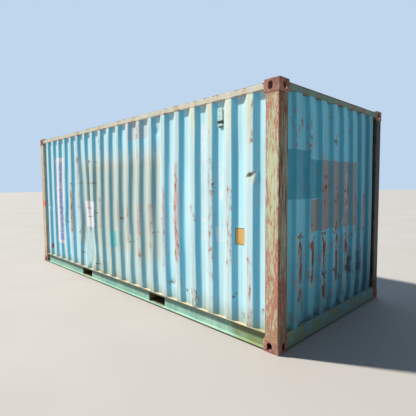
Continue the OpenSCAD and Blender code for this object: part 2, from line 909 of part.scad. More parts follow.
// The retainers, each a ring on the door round the end of a handle
module handle_retainers() {
    front = handle_depth - fit - retainer_cover;
    mouth = handle_h + 2 * fit;
    color(zinc)
        for (rod = RODS)
            at_doors(rod[0])
                translate([0, rod[1], handle_z(rod[2])])
                    mirror([0, rod[2] > 0 ? 0 : 1, 0])
                        translate([0, handle_l - retainer_l - 10, 0])
                            difference() {
                                translate([front, 0, -mouth / 2 - pad_t])
                                    cube([door_recess - front, retainer_l, mouth + 2 * pad_t]);
                                translate([handle_depth - fit, -cut, -mouth / 2])
                                    cube([handle_t + 2 * fit, retainer_l + 2 * cut, mouth]);
                            }
}

// The slotted ventilators, one on the third inner flat of each side wall
module ventilators() {
    base_t = 3;
    hood_w = side_valley - 14;
    flat_depth = face_recess + wall_setback + side_depth;
    flat_x = post_depth + side_first_flat - side_valley / 2 + 2 * side_pitch;
    bottom = top_rail_bottom - vent_drop - vent_h;
    slot_pitch = (vent_h - 28) / vent_slots;
    color(zinc)
        for (sy = [-1, 1])
            at_corner(1, sy)
                translate([flat_x, flat_depth, bottom])
                    difference() {
                        union() {
                            translate([-side_valley / 2, 0, 0])
                                rotate([90, 0, 0])
                                    linear_extrude(base_t)
                                        polygon(round_rect(side_valley, vent_h, vent_corner_r));
                            translate([-hood_w / 2, -base_t, 7])
                                rotate([90, 0, 0])
                                    linear_extrude(vent_d)
                                        polygon(round_rect(hood_w, vent_h - 14, vent_corner_r));
                        }
                        for (k = [0:vent_slots - 1])
                            translate([-hood_w / 2 + 6, -base_t - vent_d - cut,
                                14 + (k + 0.25) * slot_pitch])
                                cube([hood_w - 12, vent_d / 2 + cut, slot_pitch / 2]);
                    }
}

corner_casting(1, -1, true);  // corner_casting_front_right_top
corner_casting(1, 1, true);  // corner_casting_front_left_top
corner_casting(-1, -1, true);  // corner_casting_rear_right_top
corner_casting(-1, 1, true);  // corner_casting_rear_left_top
corner_casting(1, -1, false);  // corner_casting_front_right_bottom
corner_casting(1, 1, false);  // corner_casting_front_left_bottom
corner_casting(-1, -1, false);  // corner_casting_rear_right_bottom
corner_casting(-1, 1, false);  // corner_casting_rear_left_bottom
corner_post_front(-1);  // corner_post_front_right
corner_post_front(1);  // corner_post_front_left
corner_post_rear(-1);  // corner_post_rear_right
corner_post_rear(1);  // corner_post_rear_left
top_side_rail(-1);  // top_side_rail_right
top_side_rail(1);  // top_side_rail_left
bottom_side_rail(-1);  // bottom_side_rail_right
bottom_side_rail(1);  // bottom_side_rail_left
front_header();
front_sill();
door_header();
door_sill();
side_wall(-1);  // side_wall_right
side_wall(1);  // side_wall_left
front_wall();
roof_panel();
roof_header_plates();
floor_boards();
cross_members(pocket_far, length / 2 - front_frame_depth);  // cross_members_front
cross_members(-pocket_near, pocket_near);  // cross_members_middle
cross_members(-length / 2 + door_frame_depth, -pocket_far);  // cross_members_rear
fork_pocket(1);  // fork_pocket_front
fork_pocket(-1);  // fork_pocket_rear
door(-1);  // door_right
door(1);  // door_left
door_seals();
door_hinges(-1);  // door_hinges_right
door_hinges(1);  // door_hinges_left
lock_rod(-1, rod_outer_y);  // lock_rod_right_outer
lock_rod(-1, rod_inner_y);  // lock_rod_right_inner
lock_rod(1, rod_inner_y);  // lock_rod_left_inner
lock_rod(1, rod_outer_y);  // lock_rod_left_outer
lock_rod_brackets();
lock_keepers();
door_handles();
handle_retainers();
ventilators();
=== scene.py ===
"""Dresses a packed twenty-foot steel freight container and puts it on a plain stage.

The frame's solids give every size and place. This script presses the dented wall sheets over them,
lays the weld beads, sets the small fasteners and gives each piece its weathered finish.
All lengths are metres in the frame's own axes: +X is the blind front end, -X the doors, +Y the left
side and +Z up, with the origin on the ground under the middle of the container.
"""

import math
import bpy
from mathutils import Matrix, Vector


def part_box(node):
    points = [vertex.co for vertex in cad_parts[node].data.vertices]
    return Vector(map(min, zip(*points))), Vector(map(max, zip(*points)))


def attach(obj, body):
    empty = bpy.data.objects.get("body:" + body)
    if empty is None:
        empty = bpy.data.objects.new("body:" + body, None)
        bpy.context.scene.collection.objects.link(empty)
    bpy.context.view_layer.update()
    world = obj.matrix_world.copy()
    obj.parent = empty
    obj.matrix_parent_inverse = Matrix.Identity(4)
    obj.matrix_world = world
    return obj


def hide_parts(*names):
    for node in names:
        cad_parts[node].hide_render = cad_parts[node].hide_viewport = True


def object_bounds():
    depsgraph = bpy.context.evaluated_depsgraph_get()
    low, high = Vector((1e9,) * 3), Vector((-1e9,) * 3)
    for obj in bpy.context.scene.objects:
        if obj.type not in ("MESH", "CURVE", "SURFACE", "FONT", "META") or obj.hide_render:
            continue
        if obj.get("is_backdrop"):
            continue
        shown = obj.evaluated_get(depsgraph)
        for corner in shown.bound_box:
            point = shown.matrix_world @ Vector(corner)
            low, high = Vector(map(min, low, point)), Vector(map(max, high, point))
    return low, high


bl_info = {
    "name": "Freight Container Finish",
    "version": (1, 0, 0),
    "blender": (4, 5, 0),
    "location": "3D View > Sidebar > Container",
    "description": "Dented wall sheets, welds, fasteners and weathered paint for a freight container",
    "category": "Object",
}

from collections import namedtuple

import bpy
import numpy as np
from bpy.props import FloatProperty, FloatVectorProperty, PointerProperty

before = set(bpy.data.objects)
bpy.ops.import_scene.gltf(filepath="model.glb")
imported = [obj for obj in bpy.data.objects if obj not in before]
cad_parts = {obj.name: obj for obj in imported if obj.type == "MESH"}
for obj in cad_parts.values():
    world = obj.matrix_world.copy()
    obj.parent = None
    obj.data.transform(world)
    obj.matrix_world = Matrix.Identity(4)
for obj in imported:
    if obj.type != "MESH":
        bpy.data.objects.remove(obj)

LOW, HIGH = (np.array(corner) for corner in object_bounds())
MIDDLE = (LOW + HIGH) / 2
SIDES = {"right": -1, "left": 1}


def length(name, description, default):
    """A length property."""
    return FloatProperty(name=name, description=description, default=default, min=0, subtype="DISTANCE",
                         unit="LENGTH", precision=4)


def angle(name, description, degrees):
    """An angle property, whose default is given in degrees."""
    return FloatProperty(name=name, description=description, default=math.radians(degrees),
                         subtype="ANGLE", unit="ROTATION")


def strength(name, description, default):
    """The strength of a light."""
    return FloatProperty(name=name, description=description, default=default, min=0)


def colour(name, description, *steps):
    """A colour property, whose default is given in the 0 to 255 steps of a colour chart and made linear
    by the sRGB curve."""
    steps = np.array(steps) / 255
    default = np.where(steps <= 0.04045, steps / 12.92, ((steps + 0.055) / 1.055) ** 2.4).tolist()
    return FloatVectorProperty(name=name, description=description, default=default, size=3, min=0, max=1,
                               subtype="COLOR")


class ContainerSheetSettings(bpy.types.PropertyGroup):
    """Sizes of the pressed wall sheets."""

    thickness: length("Sheet thickness", "Thickness of the wall sheets", 0.0018)
    bend: length("Bend", "Half the length of a rounded bend, along the sheet", 0.007)
    row_height: length("Row height", "Height of a row of faces", 0.031)
    edge_fade: length("Edge fade", "How far dents keep from the posts and rails", 0.16)
    side_first: length("First side flat", "Width of the inner flat beside a front post", 0.080)
    side_slope: length("Side slope", "Length of a side wall's slopes, along the wall", 0.069)
    side_crest: length("Outer side flat", "Width of a side wall's outer flats", 0.072)
    side_valley: length("Inner side flat", "Width of a side wall's inner flats", 0.071)
    front_slope: length("Front slope", "Length of the front wall's slopes, along the wall", 0.018)
    front_crest: length("Outer front flat", "Width of the front wall's outer flats", 0.110)
    front_valley: length("Inner front flat", "Width of the front wall's inner flats", 0.104)


class ContainerPaintSettings(bpy.types.PropertyGroup):
    """Colours of the finishes."""

    # Side and overpaint tones are painted light and shade with real fading: dark slopes turned from the key
    # light, pale lit slopes and flats.
    side: colour("Side paint", "Sound paint of the side walls' slopes", 98, 205, 244)
    side_flat: colour("Faded side paint", "Side walls' inner flats", 175, 224, 240)
    side_bleached: colour("Bleached side paint", "Slopes that the sun bleached", 170, 192, 196)
    side_ridge: colour("Scuffed side paint", "Side walls' outer flats", 186, 214, 223)
    over: colour("Overpaint", "Grey-green paint rolled over the slopes", 120, 172, 184)
    over_flat: colour("Overpaint on flats", "Paint rolled over the inner flats", 178, 194, 190)
    over_ridge: colour("Overpaint on crests", "Cream paint rolled over the outer flats", 184, 196, 187)
    over_bleached: colour("Bleached overpaint", "Rolled paint on the bleached slopes", 172, 178, 170)
    cream: colour("Cream overspray", "Thin cream paint over the rolled part", 214, 196, 168)
    dust: colour("Crest dust", "Pale dust on the outer flats under the top rail", 212, 216, 186)
    # The darker front slope tone is painted shade against the paler, faded flat tone.
    front: colour("Front paint", "Front wall's slopes", 34, 165, 200)
    front_flat: colour("Faded front paint", "Front wall's flats", 124, 212, 236)
    front_dark: colour("Dark front paint", "Fresher panel of the front wall", 66, 156, 180)
    front_grey: colour("Grey front paint", "Grey panel of the front wall", 152, 146, 142)
    primer: colour("Primer", "Bare primer where the paint came off", 192, 134, 126)
    touch_up: colour("Touch-up", "Fresh turquoise touch-up paint", 66, 196, 206)
    post: colour("Post paint", "Front posts", 172, 184, 146)
    post_faded: colour("Faded post paint", "Faded paint of the front posts", 188, 196, 170)
    # The dark left-front post tone is painted shade.
    post_dark: colour("Dirty post paint", "Left front post", 40, 58, 50)
    # The post end colour is painted shade on the posts' end faces.
    post_shade: colour("Post end dirt", "Brown dirt on the posts' end faces", 60, 44, 32)
    rear: colour("Rear paint", "Rear posts and door frame", 188, 174, 142)
    rear_faded: colour("Faded rear paint", "Faded paint of the rear posts", 196, 190, 168)
    rail: colour("Top rail paint", "Top side rails", 196, 188, 170)
    rail_faded: colour("Faded top rail paint", "Faded paint of the top side rails", 182, 194, 182)
    sill: colour("Bottom rail paint", "Bottom side rails", 118, 166, 156)
    sill_faded: colour("Faded bottom rail paint", "Faded paint of the bottom rails", 164, 200, 184)
    ledge: colour("Ledge dirt", "Dust on the flanges of the bottom rails", 194, 172, 146)
    header: colour("Header paint", "Front header", 98, 128, 112)
    roof: colour("Roof paint", "Roof", 84, 140, 158)
    roof_faded: colour("Faded roof paint", "Faded paint of the roof", 130, 158, 160)
    door: colour("Door paint", "Doors", 78, 148, 174)
    door_faded: colour("Faded door paint", "Faded paint of the doors", 130, 178, 190)
    underside: colour("Underside paint", "Dark coating of the floor frame", 58, 50, 46)
    underside_worn: colour("Worn underside", "Rusty coating of the floor frame", 84, 66, 56)
    galvanised: colour("Galvanised steel", "Dull zinc of the door gear", 150, 152, 148)
    rubber: colour("Rubber", "Door seals", 30, 30, 31)
    rubber_dust: colour("Rubber dust", "Dust on the door seals", 120, 116, 108)
    plywood: colour("Plywood", "Floor boards", 158, 116, 70)
    plywood_pale: colour("Pale plywood", "Pale grain of the floor boards", 196, 152, 100)
    plywood_scuffed: colour("Scuffed plywood", "Scuffs that loads left", 86, 68, 50)
    vent: colour("Ventilator", "Moulded ventilators", 222, 248, 244)
    vent_stain: colour("Ventilator stain", "Streaks on the ventilators", 150, 184, 170)
    # The slot colour is painted shadow in the ventilators' slots.
    vent_slot: colour("Ventilator slots", "Dirt in the slots of the ventilators", 46, 78, 68)
    film: colour("Film white", "Worn white film on the side wall", 232, 230, 240)
    stripe: colour("Film blue", "Worn blue stripe on the white film", 112, 168, 250)
    panel: colour("Panel orange", "Painted orange panel", 205, 165, 98)
    blot: colour("Blot red", "Dark red paint spilt on the side wall", 150, 24, 56)
    marker: colour("Marker red", "Red patch on a rear post", 226, 96, 84)
    casting: colour("Casting rust", "Dark rust of the corner castings", 128, 88, 78)
    casting_light: colour("Light casting rust", "Light rust of the corner castings", 170, 128, 114)
    casting_edge: colour("Casting edges", "Worn edges of the corner castings", 186, 146, 132)
    rust_dark: colour("Dark rust", "Old, deep rust", 104, 60, 44)
    rust_light: colour("Light rust", "Fresh rust and its stain", 172, 112, 78)
    rust_mid: colour("Middle rust", "Older rust on the posts", 150, 96, 80)
    rust_pink: colour("Pale rust", "Worn rust over primer on the posts", 186, 138, 118)
    grime: colour("Grime", "Dirt and moss near the ground", 128, 134, 88)
    moss: colour("Moss", "Moss on the bottom rails", 118, 128, 70)
    # Soot also serves as painted shade under the bottom rails' upper flanges and on their feet.
    soot: colour("Soot", "Dark dirt in nicks and corners", 44, 42, 38)
    # This colour is painted shade, though labelled dirt: on the front wall, beside the rear post and on the
    # left front post.
    gloom: colour("Front wall dirt", "Dark film of dirt on the front wall", 4, 44, 60)


class ContainerStageSettings(bpy.types.PropertyGroup):
    """The floor, the lights and the camera."""

    floor: colour("Floor colour", "Plain pale floor", 160, 157, 155)
    floor_cloud: colour("Floor clouds", "Faint clouds on the floor", 120, 118, 116)
    floor_radius: length("Floor radius", "Radius of the level floor", 90.0)
    key: strength("Key light", "Strength of the key light", 7.4)
    key_colour: colour("Key colour", "Colour of the key light", 255, 248, 236)
    key_turn: angle("Key turn", "Turn of the key light about the vertical", 209.6)
    key_height: angle("Key height", "Height of the key light over the horizon", 48)
    key_softness: angle("Key softness", "Width of the key light as seen", 3)
    fill: strength("Fill light", "Strength of the light all round", 0.26)
    backdrop: strength("Backdrop", "Strength of the light behind the container", 0.85)
    fill_colour: colour("Fill colour", "Colour of the light all round", 206, 230, 255)
    camera_place: FloatVectorProperty(name="Camera place", description="Where the camera stands",
                                      default=(4.874, -3.917, 1.628), subtype="XYZ", unit="LENGTH")
    camera_turn: FloatVectorProperty(name="Camera turn", description="How the camera is turned",
                                     default=[math.radians(a) for a in (86.10, 0.434, 45.82)],
                                     subtype="EULER", unit="ROTATION")
    lens: FloatProperty(name="Lens", description="Focal length in millimetres", default=30.33, min=10,
                        unit="CAMERA")


def sheets():
    """The sheet settings."""
    return bpy.context.scene.container_sheets


def paints():
    """The paint settings."""
    return bpy.context.scene.container_paints


# Meshes

def new_object(name, vertices, faces, material):
    """Makes an object in place from an array of vertices and a list of faces."""
    mesh = bpy.data.meshes.new(name)
    mesh.from_pydata(np.asarray(vertices, float).reshape(-1, 3).tolist(), [], faces)
    mesh.polygons.foreach_set("use_smooth", np.ones(len(mesh.polygons), bool))
    mesh.materials.append(material)
    mesh.update()
    made = bpy.data.objects.new(name, mesh)
    bpy.context.scene.collection.objects.link(made)
    return made


def new_piece(name, vertices, faces, material, attributes=None):
    """Makes a piece that rides on the container, whose vertices may carry attributes."""
    piece = new_object(name, vertices, faces, material)
    for label, values in (attributes or {}).items():
        layer = piece.data.attributes.new(label, "FLOAT", "POINT")
        layer.data.foreach_set("value", np.asarray(values, np.float32).ravel())
    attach(piece, "root")
    return piece


def grid_faces(rows, columns, flip=False, close=False):
    """Quads over a grid of vertices that is stored row by row. Closing joins the last column to the
    first."""
    index = np.arange(rows * columns).reshape(rows, columns)
    if close:
        index = np.column_stack([index, index[:, 0]])
    corners = [index[:-1, :-1], index[:-1, 1:], index[1:, 1:], index[1:, :-1]]
    if flip:
        corners.reverse()
    return np.stack(corners, axis=-1).reshape(-1, 4).tolist()


def ease(t):
    """Smooth step: three t squared less two t cubed, held between nought and one."""
    t = np.clip(t, 0, 1)
    return t * t * (3 - 2 * t)


NOISE_CELLS = 64


def soft_noise(u, v, cell, seed):
    """Random numbers from -1 to 1 at the corners of a grid of cells, blended with eased weights."""
    table = np.random.default_rng(seed).uniform(-1, 1, (NOISE_CELLS, NOISE_CELLS))
    u, v = u / cell[0], v / cell[1]
    i, j = np.floor(u).astype(int), np.floor(v).astype(int)
    a, b = ease(u - i), ease(v - j)
    i0, j0, i1, j1 = (k % NOISE_CELLS for k in (i, j, i + 1, j + 1))
    return ((table[i0, j0] * (1 - a) + table[i1, j0] * a) * (1 - b)
            + (table[i0, j1] * (1 - a) + table[i1, j1] * a) * b)


# Wall sheets

Wave = namedtuple("Wave", "first slope crest valley depth count")
Dent = namedtuple("Dent", "across up width height push lean flat crease", defaults=(0, 9))
Waviness = namedtuple("Waviness", "push lean cell proud where")
CREASE_RISE = 0.45
CREASE_WIDTH = 0.010
FLATTENED_DEPTH = 0.55
BOX_SOFTNESS = 0.05
# Shares of the depth, and of the flattening, at which the flats' finish starts, and over which it grows
FLAT_START, FLAT_GROWTH = 0.12, 0.10
PRESSED_START, PRESSED_GROWTH = 0.45, 0.25


def wave_pitch(wave):
    """Distance from one outer flat to the next."""
    return 2 * wave.slope + wave.crest + wave.valley


def wave_depth(s, wave):
    """Depth below the outer flats at distance s: the full depth less a clipped ramp that rises to each
    outer flat and falls again, with straight slopes between the flats."""
    number = np.floor((s - wave.first) / wave_pitch(wave))
    along = s - wave.first - number * wave_pitch(wave)
    rise = np.clip(np.minimum(along, 2 * wave.slope + wave.crest - along) / wave.slope, 0, 1)
    return wave.depth * (1 - rise * ((number >= 0) & (number < wave.count)))


def rounded_depth(s, wave):
    """The wave averaged over a short window, which rounds its bends."""
    bend = sheets().bend
    shifts = np.linspace(-bend, bend, 7)
    return sum(wave_depth(s + shift, wave) for shift in shifts) / len(shifts)


def wave_columns(wave, span):
    """Distances along a sheet that get a column of vertices: five round each bend, two between bends."""
    bend = sheets().bend
    steps = np.cumsum([0, wave.slope, wave.crest, wave.slope])
    bends = (wave.first + wave_pitch(wave) * np.arange(wave.count)[:, None] + steps).ravel()
    bends = bends[bends < span - 2 * bend]
    ends = np.concatenate([[0], bends, [span]])
    between = ends[:-1, None] + np.diff(ends)[:, None] * [1 / 3, 2 / 3]
    round_bends = bends[:, None] + bend * np.linspace(-1, 1, 5)
    return np.unique(np.round(np.concatenate([ends, between.ravel(), round_bends.ravel()]), 5))


def wave_span(node):
    """Length of a wall along its corrugation."""
    low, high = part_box(node)
    return max(high.x - low.x, high.y - low.y)


def side_wave():
    """The corrugation of a side wall, counted from the front post, as the solids have it."""
    sizes = sheets()
    low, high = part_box("side_wall_left")
    wave = Wave(sizes.side_first, sizes.side_slope, sizes.side_crest, sizes.side_valley,
                high.y - low.y - sizes.thickness, 0)
    return wave._replace(count=math.ceil((high.x - low.x - wave.first) / wave_pitch(wave)))


def front_wave():
    """The corrugation of the front wall, with like valleys at both ends."""
    sizes = sheets()
    low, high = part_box("front_wall")
    wave = Wave(0, sizes.front_slope, sizes.front_crest, sizes.front_valley,
                high.x - low.x - sizes.thickness, 0)
    span, pitch = high.y - low.y, wave_pitch(wave)
    count = math.floor((span + wave.valley) / pitch - 0.5)
    return wave._replace(first=(span - count * pitch + wave.valley) / 2, count=count)


def side_place(side):
    """Gives the function from distance back from the front post, and depth, to a place on a side wall."""
    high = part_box("side_wall_left")[1]
    return lambda s, depth: (high.x - s, side * (high.y - depth))


def front_place(s, depth):
    """Place on the front wall at a distance from the right post, and depth."""
    low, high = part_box("front_wall")
    return high.x - depth, low.y + s


def dent_fields(across, up, dents):
    """Push inwards, lean along the wall and flattening, each a sum of bell curves, one for each dent.
    A crease cuts its bell off above a height."""
    push, lean, flat = np.zeros_like(across), np.zeros_like(across), np.zeros_like(across)
    for dent in dents:
        bell = np.exp(-((across - dent.across) / dent.width) ** 2 - ((up - dent.up) / dent.height) ** 2)
        bell *= ease((dent.crease + CREASE_RISE * (across - dent.across) - up) / CREASE_WIDTH)
        push += dent.push * bell
        lean += dent.lean * bell
        flat += dent.flat * bell
    return push, lean, np.clip(flat, 0, 0.9)


def box_field(across, up, boxes):
    """One inside upright rectangles and eased down to nought outside them, by how far a point is past
    their sides."""
    field = np.zeros_like(across)
    for x0, x1, z0, z1 in boxes:
        past = np.maximum(abs(across - (x0 + x1) / 2) - (x1 - x0) / 2,
                          abs(up - (z0 + z1) / 2) - (z1 - z0) / 2)
        field = np.maximum(field, 1 - ease(past / BOX_SOFTNESS))
    return field


def border_fade(s, z, span, low, high):
    """Nought on the four edges of a sheet, eased up to one at the edge fade from them."""
    nearest = np.minimum(np.minimum(s, span - s), np.minimum(z - low.z, high.z - z))
    return ease(nearest / sheets().edge_fade)


def pressed_sheet(node, wave, place, axis, dents, waviness, seed, material, flip=False,
                  extra_rows=(), fields=None, drifts=()):
    """A corrugated sheet over a grid of distance along the wall and height, whose columns drift along the
    wall. Its depth is the rounded wave, read at a place that leans with the dents, flattened towards its
    middle depth and pushed in."""
    low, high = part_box(node)
    span = wave_span(node)
    columns = wave_columns(wave, span)
    rows = np.linspace(low.z, high.z, int((high.z - low.z) / sheets().row_height) + 1)
    rows = np.unique(np.round(np.concatenate([rows, extra_rows]), 4))
    s, z = np.meshgrid(columns, rows)
    fade = border_fade(s, z, span, low, high)
    moved = s + dent_fields(place(s, 0)[axis], z, drifts)[1] * fade
    across = place(moved, 0)[axis]
    push, lean, flat = dent_fields(across, z, dents)
    push = push + waviness.push * soft_noise(s, z, waviness.cell, seed)
    lean = lean + waviness.lean * waviness.where(across) * soft_noise(s, z, waviness.cell, seed + 1)
    flat = flat * fade
    regular = rounded_depth(s + lean * fade, wave)
    depth = regular * (1 - flat) + wave.depth * FLATTENED_DEPTH * flat + push * fade
    depth = np.maximum(depth, -waviness.proud)
    share = regular / wave.depth
    fall = np.gradient(share, columns, axis=1) * wave.slope
    attributes = {
        "ridge": ease((FLAT_START - share) / FLAT_GROWTH),
        "groove": np.maximum(ease((share - 1 + FLAT_START) / FLAT_GROWTH),
                             ease((flat - PRESSED_START) / PRESSED_GROWTH)),
        # How far a slope faces ahead along the sheet: on the side walls towards the doors and the key
        # light, where its paint paints light.
        "bleach": np.clip(0.5 + 0.5 * fall, 0, 1),
    }
    for label, boxes in (fields or {}).items():
        attributes[label] = box_field(across, z, boxes)
    x, y = place(moved, depth)
    piece = new_piece(f"{node}_sheet", np.stack([x, y, z], axis=-1), grid_faces(*s.shape, flip=flip),
                      material, attributes)
    shell = piece.modifiers.new("Sheet thickness", "SOLIDIFY")
    shell.thickness = sheets().thickness
    shell.offset = -1
    piece.modifiers.new("Flat normals", "WEIGHTED_NORMAL").keep_sharp = True
    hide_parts(node)


def all_along(across):
    """A wall that is as wavy everywhere."""
    return 1.0


def mostly_middle(across):
    """A wall that is wavy in its middle, eased down to three tenths towards its ends."""
    return 0.3 + 0.7 * ease((1.5 - abs(across + 0.1)) / 0.5)


# Dents: place along the wall, height, half width, half height, push inwards, lean, flattening and crease
RIGHT_DENTS = [
    Dent(0.35, 1.2, 1.2, 0.75, -0.004, -0.046),
    Dent(1.42, 1.1, 0.3, 0.9, 0.002, -0.014),
    Dent(-1.82, 1.05, 0.42, 0.85, -0.003, -0.046),
    Dent(-1.83, 0.92, 0.13, 0.25, 0.002, -0.032),
    Dent(-1.12, 1.15, 0.24, 0.6, 0.002, 0.05),
    Dent(-0.95, 0.92, 0.19, 0.45, 0.03, 0.036, 0.3),
    Dent(-0.74, 0.5, 0.12, 0.26, 0.018, 0.03, 0.35),
    Dent(-1.02, 1.62, 0.16, 0.34, 0.008, 0.022, 0.1),
    Dent(1.13, 1.62, 0.1, 0.55, 0.014, -0.012, 0.3),
    Dent(1, 0.95, 0.12, 0.3, 0.006, 0.014, 0.2),
    Dent(0.44, 0.82, 0.12, 0.22, 0.01, 0.01, 0.2),
    Dent(0.22, 1.14, 0.09, 0.16, 0.012, 0.008, 0.2),
    Dent(-0.56, 0.34, 0.1, 0.14, 0.012, -0.008, 0.2),
    Dent(-2.6, 1.22, 0.08, 0.06, 0.008, 0.006, 0.2),
    Dent(1.1, 2.33, 0.07, 0.06, 0.012, 0, 0.2),
    Dent(1.43, 0.39, 0.06, 0.04, 0.014, 0, 0.3),
    Dent(-0.9, 0.4, 0.11, 0.38, 0.006, 0, 0.88),
    Dent(-1.78, 1.3, 0.1, 0.3, 0, 0.016),
    Dent(2.7, 1.724, 0.055, 0.06, 0.01, 0.044, 0.1, 1.737),
]
# Heights of the closer rows of faces that the crease takes
CREASE_ROWS = np.linspace(1.64, 1.76, 25)
LEFT_DENTS = [
    Dent(2.1, 0.7, 0.14, 0.28, 0.008, 0.016, 0.3),
    Dent(0.6, 1.3, 0.18, 0.4, 0.008, -0.018, 0.25),
    Dent(-0.7, 0.52, 0.14, 0.26, 0.012, 0.016, 0.35),
    Dent(-1.8, 1.6, 0.16, 0.36, 0.006, -0.014, 0.15),
    Dent(1.36, 0.42, 0.08, 0.08, 0.012, 0, 0.3),
    Dent(-2.3, 0.9, 0.08, 0.14, 0.01, 0.008, 0.2),
]
FRONT_DENTS = [
    Dent(-0.82, 1.05, 0.07, 0.07, 0.01, 0, 0.15),
    Dent(-0.6, 1.06, 0.06, 0.06, 0.012, 0.004, 0.15),
    Dent(-0.35, 1.04, 0.07, 0.09, 0.014, -0.004, 0.2),
    Dent(-0.08, 1.06, 0.07, 0.06, 0.01, 0, 0.15),
    Dent(0.16, 1.16, 0.07, 0.1, 0.012, 0.004, 0.15),
    Dent(0.32, 0.62, 0.1, 0.14, 0.014, 0, 0.2),
    Dent(-0.45, 0.64, 0.2, 0.08, 0.008, 0, 0.1),
    Dent(0.7, 0.8, 0.16, 0.26, 0.01, -0.006, 0.15),
]
FRONT_DRIFTS = [
    Dent(0.15, 1.25, 1.1, 1.25, 0, 0.05),
    Dent(0.4, 0.8, 0.6, 0.6, 0, 0.024),
]


# Shader nodes

class Value:
    """A node's output, which takes part in formulas with plain numbers and other outputs."""

    def __init__(self, nodes, socket):
        self.nodes = nodes
        self.socket = socket

    def __add__(self, other):
        return self.nodes.math("ADD", self, other)

    def __sub__(self, other):
        return self.nodes.math("SUBTRACT", self, other)

    def __rsub__(self, other):
        return self.nodes.math("SUBTRACT", other, self)

    def __mul__(self, other):
        return self.nodes.math("MULTIPLY", self, other)


class Nodes:
    """Adds nodes to one tree, so that a pattern can be written as a formula."""

    def __init__(self, tree, material=None):
        self.tree = tree
        self.material = material

    def feed(self, socket, value):
        """Links a value that varies, or sets a plain one."""
        if isinstance(value, Value):
            self.tree.links.new(value.socket, socket)
        elif socket.type == "RGBA":
            socket.default_value = (*tuple(value)[:3], 1)
        else:
            socket.default_value = value

    def add(self, kind, values=(), **settings):
        """A node with its settings, its inputs fed in order."""
        node = self.tree.nodes.new(kind)
        for name, setting in settings.items():
            setattr(node, name, setting)
        for socket, value in zip(node.inputs, values):
            self.feed(socket, value)
        return node

    def value(self, kind, values=(), output=0, **settings):
        """One output of a new node."""
        return Value(self, self.add(kind, values, **settings).outputs[output])

    def math(self, operation, *values, clamp=False):
        """A step of arithmetic on values or plain numbers."""
        return self.value("ShaderNodeMath", values, operation=operation, use_clamp=clamp)

    def most(self, first, *others):
        """The largest of some values."""
        for other in others:
            first = self.math("MAXIMUM", first, other)
        return first

    def least(self, first, *others):
        """The smallest of some values."""
        for other in others:
            first = self.math("MINIMUM", first, other)
        return first

    def vector(self, operation, *values):
        """A step of arithmetic on vectors."""
        return self.value("ShaderNodeVectorMath", values, operation=operation)

    def split(self, value):
        """The three parts of a vector."""
        return [Value(self, part) for part in self.add("ShaderNodeSeparateXYZ", [value]).outputs]

    def join(self, *parts):
        """A vector of three parts."""
        return self.value("ShaderNodeCombineXYZ", parts)

    def step(self, value, low, high, to_low=0.0, to_high=1.0):
        """A value eased from one end to the other between two limits."""
        return self.value("ShaderNodeMapRange", [value, low, high, to_low, to_high],
                          interpolation_type="SMOOTHSTEP")

    def noise(self, point, stretch, detail=3.0, roughness=0.55):
        """Cloudy noise about one half, whose cells per metre are given for each axis."""
        scaled = self.vector("MULTIPLY", point, stretch)
        return self.value("ShaderNodeTexNoise", [scaled, 0.0, 1.0, detail, roughness])

    def mix(self, share, first, second, blend="MIX"):
        """Two colours mixed by the share of the second, or blended."""
        node = self.add("ShaderNodeMix", data_type="RGBA", blend_type=blend)
        for index, value in ((0, share), (6, first), (7, second)):
            self.feed(node.inputs[index], value)
        return Value(self, node.outputs[2])

    def toned(self, base, tone):
        """A colour made darker or lighter by a value."""
        return self.mix(1.0, base, self.join(tone, tone, tone), "MULTIPLY")

    def attribute(self, name):
        """A value that a piece's vertices carry."""
        return self.value("ShaderNodeAttribute", output="Fac", attribute_name=name)

    def group(self, build, **values):
        """The outputs of a shared group, built on its first use. Underscores stand for spaces."""
        node = self.tree.nodes.new("ShaderNodeGroup")
        node.node_tree = bpy.data.node_groups.get(group_name(build)) or build()
        for name, value in values.items():
            self.feed(node.inputs[name.replace("_", " ")], value)
        return {output.name: Value(self, output) for output in node.outputs}


def group_name(build):
    """A group's name in Blender, from the name of the function that builds it."""
    return build.__name__.replace("_", " ").title()


def open_group(build, inputs, outputs):
    """A new shader node group with named sockets. A default's form gives its socket's kind."""
    tree = bpy.data.node_groups.new(group_name(build), "ShaderNodeTree")
    kinds = {0: "Float", 3: "Vector", 4: "Color"}
    for name, default in inputs.items():
        kind = kinds[len(default) if isinstance(default, tuple) else 0]
        socket = tree.interface.new_socket(name, in_out="INPUT", socket_type=f"NodeSocket{kind}")
        socket.default_value = default
    for name, kind in outputs.items():
        tree.interface.new_socket(name, in_out="OUTPUT", socket_type=f"NodeSocket{kind}")
    n = Nodes(tree)
    given = {output.name: Value(n, output) for output in n.add("NodeGroupInput").outputs}
    return n, given, n.add("NodeGroupOutput").inputs


ORIGIN = (0.0, 0.0, 0.0)
GREY = (0.5, 0.5, 0.5, 1.0)


def member_edges():
    """Wear along the edges of a straight member. A point's second smallest distance to the faces of the
    member's box is nought on its edges, and the wear fades over the width, broken up by noise."""
    n, given, result = open_group(
        member_edges, {"Point": ORIGIN, "Low": ORIGIN, "High": ORIGIN, "Width": 0.02}, {"Edge": "Float"})
    folded = n.vector("ABSOLUTE", n.vector("SUBTRACT", given["Point"], tuple(MIDDLE)))
    x, y, z = n.split(n.vector("MINIMUM", n.vector("SUBTRACT", folded, given["Low"]),
                               n.vector("SUBTRACT", given["High"], folded)))
    second = x + y + z - n.most(x, y, z) - n.least(x, y, z)
    ragged = n.noise(given["Point"], (24, 24, 9)) * given["Width"]
    n.feed(result["Edge"], n.step(second + ragged, 0.0, given["Width"] * 1.5, 1.0, 0.0))
    return n.tree


def box_distance():
    """Distance past the sides of an upright rectangle on a wall: the larger of the two overshoots."""
    n, given, result = open_group(
        box_distance, {"Place": ORIGIN, "Centre": ORIGIN, "Half Size": ORIGIN}, {"Distance": "Float"})
    offset = n.vector("ABSOLUTE", n.vector("SUBTRACT", given["Place"], given["Centre"]))
    x, y, _ = n.split(n.vector("SUBTRACT", offset, given["Half Size"]))
    n.feed(result["Distance"], n.most(x, y))
    return n.tree


